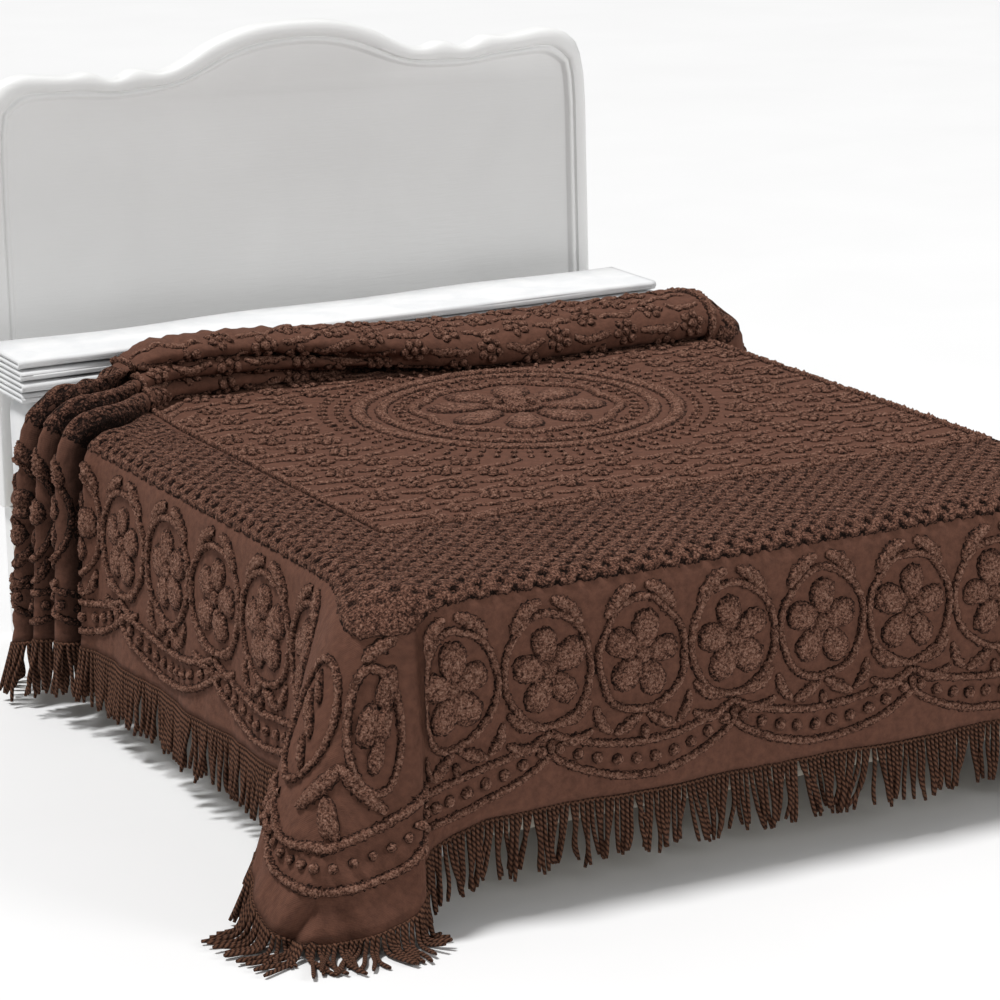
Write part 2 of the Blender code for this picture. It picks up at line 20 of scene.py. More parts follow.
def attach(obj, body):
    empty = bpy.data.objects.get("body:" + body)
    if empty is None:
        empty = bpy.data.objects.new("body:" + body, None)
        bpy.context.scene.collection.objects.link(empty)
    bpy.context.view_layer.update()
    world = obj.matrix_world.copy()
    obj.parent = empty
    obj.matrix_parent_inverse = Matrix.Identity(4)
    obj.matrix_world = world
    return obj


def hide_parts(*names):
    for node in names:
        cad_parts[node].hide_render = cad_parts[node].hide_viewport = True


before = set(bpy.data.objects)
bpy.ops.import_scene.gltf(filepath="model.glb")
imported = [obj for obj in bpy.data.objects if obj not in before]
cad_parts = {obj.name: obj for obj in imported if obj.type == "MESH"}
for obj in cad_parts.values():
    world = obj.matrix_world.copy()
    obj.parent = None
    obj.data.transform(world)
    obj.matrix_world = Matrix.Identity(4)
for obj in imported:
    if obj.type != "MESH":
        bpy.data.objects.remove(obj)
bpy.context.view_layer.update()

Array = np.ndarray
Pair = tuple[float, float]
Material = bpy.types.Material
Piece = bpy.types.Object

log = logging.getLogger("chenille_bedspread")

BODY = "root"
FRAME_SHIFT_Y = 1.0113
SEED = 11


class Slot(Enum):
    """Material slots of the part's record."""

    CHENILLE = "brown_chenille"
    CORD = "brown_cord"
    COTTON = "white_cotton"
    PAINT = "white_paint"


# ---- Finishes ----


def linear(hex_colour: str) -> tuple[float, float, float, float]:
    """Turn an sRGB hex colour into linear values.

    Args:
        hex_colour: Six hex digits after a hash sign.

    Returns:
        Red, green, blue and an alpha of 1.
    """
    values = [int(hex_colour[i:i + 2], 16) / 255.0 for i in (1, 3, 5)]
    red, green, blue = (v / 12.92 if v <= 0.04045 else ((v + 0.055) / 1.055) ** 2.4 for v in values)
    return red, green, blue, 1.0


def add_node(
    tree: bpy.types.NodeTree, kind: str, inputs: dict[Any, Any] | None = None, **settings: Any
) -> bpy.types.Node:
    """Add a node with its settings and links.

    Args:
        tree: The node tree that gets the node.
        kind: Blender's name of the kind of node, after "ShaderNode".
        inputs: A value, or an output socket to link, for inputs by name or number.
        settings: Properties of the node.

    Returns:
        The new node.
    """
    node = tree.nodes.new(f"ShaderNode{kind}")
    for name, value in settings.items():
        setattr(node, name, value)
    for name, value in (inputs or {}).items():
        if isinstance(value, bpy.types.NodeSocket):
            tree.links.new(value, node.inputs[name])
        else:
            node.inputs[name].default_value = value
    return node


def set_stops(node: bpy.types.Node, stops: list[tuple[float, str]]) -> None:
    """Give a colour ramp its stops.

    Args:
        node: The colour ramp.
        stops: Place and hex colour of each stop, in order.
    """
    ramp = node.color_ramp
    while len(ramp.elements) < len(stops):
        ramp.elements.new(0.5)
    for element, (place, colour) in zip(ramp.elements, stops):
        element.position = place
        element.color = linear(colour)


def new_material(name: str, roughness: float, specular: float = 0.5, sheen: float = 0.0) -> Material:
    """Return a material whose only shader is a Principled one.

    Args:
        name: The real material and how it was made.
        roughness: Roughness of the surface.
        specular: Level of the gloss, 0.5 for a plain one.
        sheen: Weight of the brown sheen of its loose fibre ends.

    Returns:
        The material, with its shader named Principled BSDF.
    """
    material = bpy.data.materials.new(name)
    material.use_nodes = True
    shader = material.node_tree.nodes["Principled BSDF"]
    shader.inputs["Roughness"].default_value = roughness
    shader.inputs["IOR"].default_value = 1.5    # cotton, paint and vinyl all lie near it
    shader.inputs["Specular IOR Level"].default_value = specular
    if sheen > 0.0:
        shader.inputs["Sheen Weight"].default_value = sheen
        shader.inputs["Sheen Roughness"].default_value = 0.5
        shader.inputs["Sheen Tint"].default_value = linear("#8A6A5A")
    return material


def finish_surface(
    material: Material, colour: bpy.types.NodeSocket, height: bpy.types.NodeSocket,
    depth: float, strength: float = 1.0,
) -> None:
    """Link a colour and a height to the material's shader.

    Args:
        material: The material.
        colour: Socket that gives the colour.
        height: Socket that gives the height, from 0 to 1.
        depth: Height of the relief in metres.
        strength: Strength of the relief.
    """
    tree = material.node_tree
    shader = tree.nodes["Principled BSDF"]
    bump = add_node(tree, "Bump", {"Height": height, "Distance": depth, "Strength": strength})
    tree.links.new(colour, shader.inputs["Base Color"])
    tree.links.new(bump.outputs["Normal"], shader.inputs["Normal"])


@dataclass(frozen=True)
class ChenillePile:
    """Cut cotton pile, tufted through the ground cloth and brushed open in the wash."""

    # The tufts stand apart, light ends and dark gaps a few millimetres across, with hardly any gloss;
    # the colour follows their height, so painted shade darkens the gaps and painted light brightens the
    # ends, over random yarn tone.
    deep: str = "#120805"
    low: str = "#452D24"
    middle: str = "#6E4C3E"
    ends: str = "#957363"
    tuft: float = 0.0068   # from one opened tuft to the next
    yarn: float = 0.0042   # width of the cut yarn ends in a tuft
    depth: float = 0.0041  # between two yarn ends

    def make(self) -> Material:
        """Return the material."""
        material = new_material("cotton_chenille_pile_tufted", 0.95, specular=0.12, sheen=0.12)
        tree = material.node_tree
        place = add_node(tree, "TexCoord").outputs["Object"]
        tufts = add_node(
            tree, "TexVoronoi", {"Vector": place, "Scale": 1.0 / self.tuft}, feature="SMOOTH_F1"
        )
        yarns = add_node(
            tree, "TexNoise",
            {"Vector": place, "Scale": 1.0 / self.yarn, "Detail": 2.0, "Roughness": 0.8},
        )
        # The tuft height sets the relief and the colour: painted shade between the tufts, painted light
        # on their tops.
        rise = add_node(
            tree, "Math", {0: tufts.outputs["Distance"], 1: -0.50, 2: -0.19}, operation="MULTIPLY_ADD"
        )
        both = add_node(
            tree, "Math", {0: yarns.outputs["Fac"], 1: 1.6, 2: rise.outputs["Value"]},
            operation="MULTIPLY_ADD",
        )
        # Painted shade from the 'pile' attribute: darker at the roots of the pile, in the lattice gaps
        # and deep in the head folds.
        pile = add_node(tree, "Attribute", attribute_name="pile")
        light = add_node(
            tree, "Math", {0: pile.outputs["Fac"], 1: 0.80, 2: -0.67}, operation="MULTIPLY_ADD"
        )
        shade = add_node(
            tree, "Math", {0: both.outputs["Value"], 1: light.outputs["Value"]}, operation="ADD"
        )
        ramp = add_node(tree, "ValToRGB", {"Fac": shade.outputs["Value"]})
        set_stops(ramp, [(0.08, self.deep), (0.30, self.low), (0.50, self.middle), (0.84, self.ends)])
        finish_surface(material, ramp.outputs["Color"], both.outputs["Value"], self.depth)
        return material


@dataclass(frozen=True)
class GroundCloth:
    """Plain woven cotton ground between the tufts, a little puckered by the tufting."""

    # It is smoother and slightly redder than the pile, with faint creases, and darker where lower;
    # painted shade darkens it in folds.
    deep: str = "#120805"
    dark: str = "#4E342A"
    light: str = "#654437"
    thread: float = 0.0022  # coarser than the real 0.6 mm, which is too fine to show
    puckers: float = 62.0   # scale of the creases between the tufts
    depth: float = 0.0035
    strength: float = 0.75

    def make(self) -> Material:
        """Return the material."""
        material = new_material("cotton_ground_cloth_woven", 0.9, specular=0.12, sheen=0.1)
        tree = material.node_tree
        place = add_node(tree, "TexCoord").outputs["UV"]
        threads = [
            add_node(
                tree, "TexWave",
                {"Vector": place, "Scale": math.pi / 10.0 / self.thread, "Distortion": 1.2,
                 "Detail": 1.0},
                wave_type="BANDS", bands_direction=way,
            ).outputs["Fac"] for way in ("X", "Y")
        ]
        weave = add_node(tree, "Math", {0: threads[0], 1: threads[1]}, operation="MULTIPLY")
        puckers = add_node(
            tree, "TexNoise", {"Vector": place, "Scale": self.puckers, "Detail": 5.0, "Roughness": 0.66}
        )
        height = add_node(
            tree, "Math",
            {0: weave.outputs["Value"], 1: 0.16, 2: puckers.outputs["Fac"]},
            operation="MULTIPLY_ADD",
        )
        # Painted fold shade: the 'pile' attribute falls to 0 deep in the head folds and darkens the
        # cloth to the deep colour.
        out = add_node(tree, "Attribute", attribute_name="pile").outputs["Fac"]
        tone = add_node(tree, "Math", {0: height.outputs["Value"], 1: out}, operation="MULTIPLY")
        ramp = add_node(tree, "ValToRGB", {"Fac": tone.outputs["Value"]})
        set_stops(ramp, [(0.0, self.deep), (0.32, self.dark), (0.72, self.light)])
        finish_surface(
            material, ramp.outputs["Color"], height.outputs["Value"], self.depth, self.strength
        )
        return material


@dataclass(frozen=True)
class TwistedCotton:
    """Cotton yarn plied into cords, with its twist left to spring back."""

    # Two plies wind round each other; painted shade darkens the groove and painted light brightens the
    # ridge across it.
    groove_shade: str = "#22130E"
    ply: str = "#75513F"
    turn: float = 0.0200   # length of one full twist
    plies: float = 2.0
    fibres: float = 420.0  # scale of the loose fibres
    depth: float = 0.0022

    def make(self) -> Material:
        """Return the material."""
        material = new_material("cotton_cord_two_ply_twisted", 0.92, specular=0.15)
        tree = material.node_tree
        place = add_node(tree, "TexCoord").outputs["UV"]
        parts = add_node(tree, "SeparateXYZ", {"Vector": place})
        along = add_node(
            tree, "Math",
            {0: parts.outputs["Y"], 1: 2.0 * math.pi * self.plies / self.turn},
            operation="MULTIPLY",
        )
        angle = add_node(
            tree, "Math",
            {0: parts.outputs["X"], 1: 2.0 * math.pi * self.plies, 2: along.outputs["Value"]},
            operation="MULTIPLY_ADD",
        )
        plies = add_node(tree, "Math", {0: angle.outputs["Value"]}, operation="SINE")
        fibres = add_node(
            tree, "TexNoise", {"Vector": place, "Scale": self.fibres, "Detail": 2.0, "Roughness": 0.6}
        )
        height = add_node(
            tree, "Math",
            {0: plies.outputs["Value"], 1: 0.34, 2: fibres.outputs["Fac"]},
            operation="MULTIPLY_ADD",
        )
        # Painted shade in the groove and painted light on the ridge of each ply, over the yarn's own
        # brown.
        ramp = add_node(tree, "ValToRGB", {"Fac": height.outputs["Value"]})
        set_stops(ramp, [(0.16, self.groove_shade), (0.78, self.ply)])
        finish_surface(material, ramp.outputs["Color"], height.outputs["Value"], self.depth)
        return material


@dataclass(frozen=True)
class PaleFinish:
    """A pale and nearly even surface: sheeting, ticking, satin paint or a studio floor."""

    name: str
    roughness: float
    dark: str
    light: str
    cloud: float                    # scale of the faint change of shade
    grain: tuple[float, float, float]  # scale of the weave or brush lines
    depth: float                    # of the relief
    share: float                    # of the grain in the relief, the rest being the cloud

    def make(self) -> Material:
        """Return the material."""
        material = new_material(self.name, self.roughness)
        tree = material.node_tree
        place = add_node(tree, "TexCoord").outputs["Object"]
        cloud = add_node(
            tree, "TexNoise", {"Vector": place, "Scale": self.cloud, "Detail": 4.0, "Distortion": 0.4}
        )
        grain_place = add_node(tree, "Mapping", {"Vector": place, "Scale": self.grain})
        grain = add_node(
            tree, "TexNoise", {"Vector": grain_place.outputs["Vector"], "Scale": 1.0, "Detail": 3.0}
        )
        soft = add_node(
            tree, "Math", {0: cloud.outputs["Fac"], 1: 1.0 - self.share}, operation="MULTIPLY"
        )
        height = add_node(
            tree, "Math",
            {0: grain.outputs["Fac"], 1: self.share, 2: soft.outputs["Value"]},
            operation="MULTIPLY_ADD",
        )
        ramp = add_node(tree, "ValToRGB", {"Fac": cloud.outputs["Fac"]})
        set_stops(ramp, [(0.35, self.dark), (0.65, self.light)])
        finish_surface(material, ramp.outputs["Color"], height.outputs["Value"], self.depth)
        return material


# Bleached plain weave with shallow creases from folding.
SHEETING = PaleFinish(
    "cotton_sheeting_bleached", roughness=0.88, dark="#D2D3D4", light="#DCDCDC", cloud=12.0,
    grain=(480.0, 480.0, 480.0), depth=0.0040, share=0.08,
)
# Close cream cotton over the box spring.
TICKING = PaleFinish(
    "cotton_ticking_cream", roughness=0.85, dark="#C9C2B4", light="#D3CCBE", cloud=5.0,
    grain=(420.0, 420.0, 420.0), depth=0.0006, share=0.8,
)
# Brushed satin paint on carved hardwood, with its brush lines along the board.
PAINT = PaleFinish(
    "hardwood_painted_satin", roughness=0.42, dark="#E0E0DF", light="#E4E4E3", cloud=3.5,
    grain=(18.0, 180.0, 180.0), depth=0.0004, share=0.9,
)
# Near white, so that the shadow under the bed stays soft and pale.
FLOOR = PaleFinish(
    "vinyl_floor_matt", roughness=0.7, dark="#DEDEDE", light="#E0E0E0", cloud=1.5,
    grain=(30.0, 30.0, 30.0), depth=0.00002, share=0.9,
)


# ---- Meshes made from shapes that are repeated or bent ----


def unit(vectors: Array) -> Array:
    """Return vectors of the same directions and 1 m long."""
    return vectors / np.maximum(np.linalg.norm(vectors, axis=-1, keepdims=True), 1e-9)


def reach_along(path: Array) -> Array:
    """Return the length along a path at each of its points."""
    return np.concatenate(([0.0], np.cumsum(np.linalg.norm(np.diff(path, axis=0), axis=1))))


def read_path(at: Array, reach: Array, path: Array) -> Array:
    """Read a path at some lengths along it.

    Args:
        at: The lengths.
        reach: Length at each point of the path.
        path: The points, or other values to read at them, in rows.

    Returns:
        A row for each length.
    """
    return np.column_stack([np.interp(at, reach, path[:, k]) for k in range(path.shape[1])])


def turned(x: Array, y: Array, turn: float) -> Array:
    """Return places of a plane, turned round its origin by an angle in radians."""
    return np.column_stack((
        x * math.cos(turn) - y * math.sin(turn), x * math.sin(turn) + y * math.cos(turn)
    ))


@dataclass
class Shape:
    """A mesh as arrays, made once with bmesh and then bent or repeated."""

    points: Array   # (n, 3)
    corners: Array  # point number of each face corner
    sizes: Array    # corners of each face

    @classmethod
    def from_bmesh(cls, bm: bmesh.types.BMesh) -> "Shape":
        """Read a bmesh and free it.

        Args:
            bm: The mesh to read.

        Returns:
            The same mesh as arrays.
        """
        bm.verts.index_update()
        points = np.array([v.co[:] for v in bm.verts])
        corners = np.array([v.index for f in bm.faces for v in f.verts])
        sizes = np.array([len(f.verts) for f in bm.faces])
        bm.free()
        return cls(points, corners, sizes)

    @classmethod
    def grid(cls, columns: int, rows: int) -> "Shape":
        """Return a flat grid from (0, -1) to (1, 1).

        Args:
            columns: Faces along X.
            rows: Faces along Y.

        Returns:
            The grid.
        """
        bm = bmesh.new()
        bmesh.ops.create_grid(bm, x_segments=columns, y_segments=rows, size=1.0)
        bmesh.ops.scale(bm, vec=(0.5, 1.0, 1.0), verts=bm.verts[:])
        bmesh.ops.translate(bm, vec=(0.5, 0.0, 0.0), verts=bm.verts[:])
        return cls.from_bmesh(bm)

    @classmethod
    def knob(cls) -> "Shape":
        """Return the upper half of a low ball, open underneath."""
        bm = bmesh.new()
        bmesh.ops.create_uvsphere(bm, u_segments=7, v_segments=6, radius=1.0)
        low = [v for v in bm.verts if v.co.z < -0.1]
        bmesh.ops.delete(bm, geom=low, context="VERTS")
        return cls.from_bmesh(bm)

    @classmethod
    def pad(cls) -> "Shape":
        """Return a round pad of squares, one unit in radius and one high."""
        shape = cls.grid(12, 12)
        x, y = 2.0 * shape.points[:, 0] - 1.0, shape.points[:, 1].copy()
        shape.points[:, 0] = x * np.sqrt(1.0 - 0.5 * y * y)
        shape.points[:, 1] = y * np.sqrt(1.0 - 0.5 * x * x)
        radius = np.hypot(shape.points[:, 0], shape.points[:, 1])
        shape.points[:, 2] = np.clip(1.0 - radius**3, 0.0, 1.0) ** 0.45
        return shape

    @classmethod
    def tube(cls, levels: int, sides: int) -> "Shape":
        """Return a tube round Z, one unit in radius, with levels counted up Z.

        Args:
            levels: Rings of points.
            sides: Faces round the tube.

        Returns:
            The tube with both ends closed.
        """
        bm = bmesh.new()
        bmesh.ops.create_circle(bm, cap_ends=True, segments=sides, radius=1.0)
        bmesh.ops.reverse_faces(bm, faces=bm.faces[:])
        edges = bm.edges[:]
        for _ in range(levels - 1):
            made = bmesh.ops.extrude_edge_only(bm, edges=edges)["geom"]
            moved = [item for item in made if isinstance(item, bmesh.types.BMVert)]
            edges = [
                e for e in made if isinstance(e, bmesh.types.BMEdge)
                and e.verts[0] in moved and e.verts[1] in moved
            ]
            bmesh.ops.translate(bm, vec=(0.0, 0.0, 1.0), verts=moved)
        bmesh.ops.contextual_create(bm, geom=edges)
        bmesh.ops.recalc_face_normals(bm, faces=bm.faces[:])
        return cls.from_bmesh(bm)


def build_mesh(
    name: str, points: Array, corners: Array, sizes: Array, uv: Array, pile: Array | None = None
) -> Piece:
    """Make a smooth-shaded piece from arrays.

    Args:
        name: Name of the piece.
        points: Places of the points, (n, 3).
        corners: Point number of each face corner.
        sizes: Corners of each face.
        uv: UV of each face corner, (corners, 2).
        pile: How far up the pile, or out of the folds, each point is, from 0 to 1, which the materials
            turn into painted shade.

    Returns:
        The piece, linked to the scene.
    """
    mesh = bpy.data.meshes.new(name)
    mesh.vertices.add(len(points))
    mesh.vertices.foreach_set("co", np.ascontiguousarray(points, dtype=np.float32).ravel())
    mesh.loops.add(len(corners))
    mesh.loops.foreach_set("vertex_index", corners.astype(np.int32))
    mesh.polygons.add(len(sizes))
    starts = np.concatenate(([0], np.cumsum(sizes)[:-1])).astype(np.int32)
    mesh.polygons.foreach_set("loop_start", starts)
    mesh.update(calc_edges=True)
    layer = mesh.uv_layers.new(name="flat")
    layer.data.foreach_set("uv", np.ascontiguousarray(uv, dtype=np.float32).ravel())
    if pile is not None:
        attribute = mesh.attributes.new("pile", "FLOAT", "POINT")
        attribute.data.foreach_set("value", np.ascontiguousarray(pile, dtype=np.float32))
    mesh.validate()
    mesh.shade_smooth()
    piece = bpy.data.objects.new(name, mesh)
    bpy.context.scene.collection.objects.link(piece)
    return piece


def dress(piece: Piece, material: Material) -> None:
    """Give a new piece its material and its body.

    Args:
        piece: The piece.
        material: Its finish.
    """
    piece.data.materials.clear()
    piece.data.materials.append(material)
    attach(piece, BODY)


def object_from(name: str, bm: bmesh.types.BMesh, sharp: float | None = None) -> Piece:
    """Turn a bmesh into a linked object.

    Args:
        name: Name of the piece.
        bm: The mesh, which is freed.
        sharp: Angle in degrees over which edges stay sharp, or None for flat faces.

    Returns:
        The object.
    """
    mesh = bpy.data.meshes.new(name)
    bm.to_mesh(mesh)
    bm.free()
    if sharp is not None:
        mesh.shade_smooth()
        mesh.set_sharp_from_angle(angle=math.radians(sharp))
    piece = bpy.data.objects.new(name, mesh)
    bpy.context.scene.collection.objects.link(piece)
    return piece


def sweep(paths: Array, radii: Array, sides: int, lengths: Array) -> tuple[Array, Array, Array, Array]:
    """Bend one tube along each of many paths.

    Args:
        paths: Points of each path, (paths, levels, 3).
        radii: Radius at each level, (levels,) or (paths, levels).
        sides: Faces round a tube.
        lengths: Length along the path at each level, (levels,).

    Returns:
        Points, corners, sizes and UV of the joined mesh.
    """
    count, levels = paths.shape[:2]
    tube = Shape.tube(levels, sides)
    level = np.rint(tube.points[:, 2]).astype(int)
    ways = unit(np.gradient(paths, axis=1))
    aside = unit(np.cross(paths[:, -1] - paths[:, 0], np.array([0.31, 0.77, 0.55])))
    across = unit(np.cross(ways, aside[:, None, :]))
    other = np.cross(ways, across)
    radii = np.broadcast_to(radii, (count, levels))
    points = (
        paths[:, level]
        + across[:, level] * (tube.points[:, 0] * radii[:, level])[..., None]
        + other[:, level] * (tube.points[:, 1] * radii[:, level])[..., None]
    )
    each = len(tube.points)
    corners = (tube.corners[None, :] + each * np.arange(count)[:, None]).ravel()
    turn = np.arctan2(tube.points[:, 1], tube.points[:, 0]) / (2.0 * math.pi) % 1.0
    corner_turn = turn[tube.corners]
    starts = np.concatenate(([0], np.cumsum(tube.sizes)[:-1]))
    widest = np.repeat(np.maximum.reduceat(corner_turn, starts), tube.sizes)
    corner_turn = np.where(widest - corner_turn > 0.5, corner_turn + 1.0, corner_turn)
    uv = np.column_stack((corner_turn, lengths[level[tube.corners]]))
    return points.reshape(-1, 3), corners, np.tile(tube.sizes, count), np.tile(uv, (count, 1))


# ---- How the cloth lies ----


class HemRow(NamedTuple):
    """One strip of the rounded fold at the foot corner, followed round the hem."""

    flat: float   # place on the hem, from the corner (minus towards the head)
    guide: float  # where the cloth leaves the top (minus along the side)
    out: float    # place of the hem beyond the middle of the bed
    y: float
    z: float
    bend: float   # radius with which that strip leaves the top
    late: float   # 1 where it leaves square to the foot and swings over lower


CORNER_HEM = [HemRow(*row) for row in (
    (-0.8, -0.35, 0.812, 0.4, 0.188, 0.05, 0),
    (-0.68, -0.275, 0.826, 0.318, 0.178, 0.052, 0),
    (-0.56, -0.215, 0.87, 0.268, 0.166, 0.06, 0),
    (-0.44, -0.165, 0.93, 0.226, 0.146, 0.075, 0),
    (-0.33, -0.125, 0.978, 0.182, 0.114, 0.09, 0),
    (-0.23, -0.092, 1.004, 0.126, 0.078, 0.105, 0),
    (-0.14, -0.066, 1.008, 0.064, 0.048, 0.115, 0),
    (-0.06, -0.046, 0.991, 0.008, 0.031, 0.108, 0),
    (0, -0.034, 0.96, -0.027, 0.025, 0.1, 0),
    (0.07, -0.024, 0.9, -0.05, 0.028, 0.08, 0.2),
    (0.14, -0.015, 0.836, -0.066, 0.042, 0.06, 0.6),
    (0.19, -0.008, 0.788, -0.076, 0.058, 0.05, 0.9),
    (0.215, -0.004, 0.767, -0.077, 0.068, 0.048, 1),
    (0.24, 0.001, 0.755, -0.066, 0.078, 0.047, 1),
    (0.3, 0.011, 0.751, -0.042, 0.098, 0.047, 1),
    (0.37, 0.023, 0.74, -0.023, 0.126, 0.048, 1),
    (0.45, 0.042, 0.715, -0.013, 0.155, 0.05, 1),
    (0.57, 0.12, 0.615, -0.012, 0.188, 0.05, 0),
)]


class FoldRow(NamedTuple):
    """One place along the section of the head folds, at the left edge, left half and right."""

    side_y: float
    side_up: float
    hem_in: float  # how much deeper it lies at the hem
    deep: float    # how far inside a fold of the left edge, from 0 to 1; there the pile is pressed and painted shade darkens the cloth
    hem_y: float
    hem_low: float
    top_y: float
    top_up: float
    far_y: float
    far_up: float


HEAD_FOLDS = [FoldRow(*row) for row in (
    (1.28, 0, 0, 0, 0, 0, 1.28, 0, 1.28, 0),
    (1.33, 0.006, 0, 0, 0, 0, 1.5, 0, 1.38, 0),
    (1.366, 0.02, 0, 0, -0.005, 0, 1.69, 0.002, 1.47, 0),
    (1.384, 0.02, 0.004, 0.3, -0.008, 0, 1.712, 0.004, 1.55, 0.001),
    (1.388, 0.004, 0.04, 1, -0.01, 0, 1.7, 0.006, 1.62, 0.001),
    (1.424, 0.004, 0.04, 1, -0.012, 0, 1.652, 0.008, 1.68, 0.002),
    (1.428, 0.034, 0.006, 0.6, -0.012, 0.002, 1.632, 0.024, 1.725, 0.003),
    (1.452, 0.052, 0, 0, -0.01, 0.004, 1.654, 0.04, 1.738, 0.007),
    (1.476, 0.034, 0.006, 0.3, -0.004, 0.008, 1.712, 0.041, 1.725, 0.011),
    (1.478, 0.006, 0.036, 1, 0, 0.012, 1.724, 0.043, 1.69, 0.012),
    (1.508, 0.006, 0.036, 1, 0.002, 0.016, 1.712, 0.045, 1.65, 0.012),
    (1.512, 0.042, 0.006, 0.6, 0.004, 0.02, 1.654, 0.046, 1.615, 0.012),
    (1.535, 0.062, 0, 0, 0.004, 0.024, 1.634, 0.062, 1.585, 0.011),
    (1.558, 0.042, 0.006, 0.3, 0.006, 0.028, 1.656, 0.077, 1.56, 0.01),
    (1.56, 0.01, 0.036, 1, 0.01, 0.034, 1.716, 0.078, 1.542, 0.012),
    (1.59, 0.01, 0.036, 1, 0.014, 0.04, 1.73, 0.08, 1.531, 0.022),
    (1.594, 0.048, 0.006, 0.6, 0.022, 0.048, 1.72, 0.082, 1.528, 0.038),
    (1.618, 0.07, 0, 0, 0.03, 0.058, 1.658, 0.083, 1.534, 0.056),
    (1.642, 0.05, 0, 0, 0.044, 0.066, 1.64, 0.1, 1.552, 0.074),
    (1.648, 0.022, 0, 0, 0.058, 0.074, 1.664, 0.115, 1.59, 0.087),
    (1.662, 0.01, 0, 0, 0.074, 0.084, 1.712, 0.12, 1.65, 0.092),
    (1.686, 0.006, 0, 0, 0.088, 0.092, 1.76, 0.116, 1.715, 0.086),
    (1.715, 0.006, 0, 0, 0.096, 0.096, 1.782, 0.102, 1.765, 0.06),
)]
# From where to where across the bed the folds change from side to top, and from top to far.
SIDE_UP_BLEND = (-0.74, -0.50)
SIDE_Y_BLEND = (-0.74, -0.46)
FAR_BLEND = (-0.42, 0.24)


def ease(value: Array, low: float, high: float) -> Array:
    """Ease from 0 at low to 1 at high."""
    t = np.clip((value - low) / (high - low), 0.0, 1.0)
    return t * t * (3.0 - 2.0 * t)


def curve_through(knots: list[float], values: list[float], at: Array) -> Array:
    """Read a smooth curve through knots and values.

    Args:
        knots: Rising places of the values.
        values: The value at each knot.
        at: Places to read.

    Returns:
        The value at each place.
    """
    x, y = np.asarray(knots), np.asarray(values)
    steps = np.diff(x)
    slopes = np.diff(y) / steps
    tangents = np.empty(len(y))
    tangents[0], tangents[-1] = slopes[0], slopes[-1]
    tangents[1:-1] = (slopes[:-1] * steps[1:] + slopes[1:] * steps[:-1]) / (steps[:-1] + steps[1:])
    i = np.clip(np.searchsorted(x, at, side="right") - 1, 0, len(steps) - 1)
    t = (at - x[i]) / steps[i]
    return (
        (2 * t**3 - 3 * t**2 + 1) * y[i]
        + (t**3 - 2 * t**2 + t) * steps[i] * tangents[i]
        + (3 * t**2 - 2 * t**3) * y[i + 1]
        + (t**3 - t**2) * steps[i] * tangents[i + 1]
    )


def strip_points(start: Array, hem: Array, bend: Array, fraction: Array) -> Array:
    """Return a point of each strip of cloth that leaves the top and hangs to its hem.

    Args:
        start: Where each strip leaves the top, (n, 3).
        hem: Its hem, (n, 3).
        bend: Radius of the turn from level to hanging.
        fraction: How far down the strip, from 0 to 1.

    Returns:
        The points, (n, 3).
    """
    way = hem[:, :2] - start[:, :2]
    reach = np.maximum(np.hypot(way[:, 0], way[:, 1]), 1e-6)
    drop = start[:, 2] - hem[:, 2] - bend
    slant = np.hypot(reach, drop)
    turn = np.arctan2(drop, reach) + np.arcsin(np.minimum(bend / slant, 1.0))
    arc = bend * turn
    along = fraction * (arc + np.sqrt(np.maximum(slant**2 - bend**2, 0.0)))
    angle = np.minimum(along, arc) / bend
    rest = np.maximum(along - arc, 0.0)
    out = bend * np.sin(angle) + rest * np.cos(turn)
    down = bend * (1.0 - np.cos(angle)) + rest * np.sin(turn)
    heading = way / reach[:, None]
    return np.column_stack((start[:, :2] + heading * out[:, None], start[:, 2] - down))


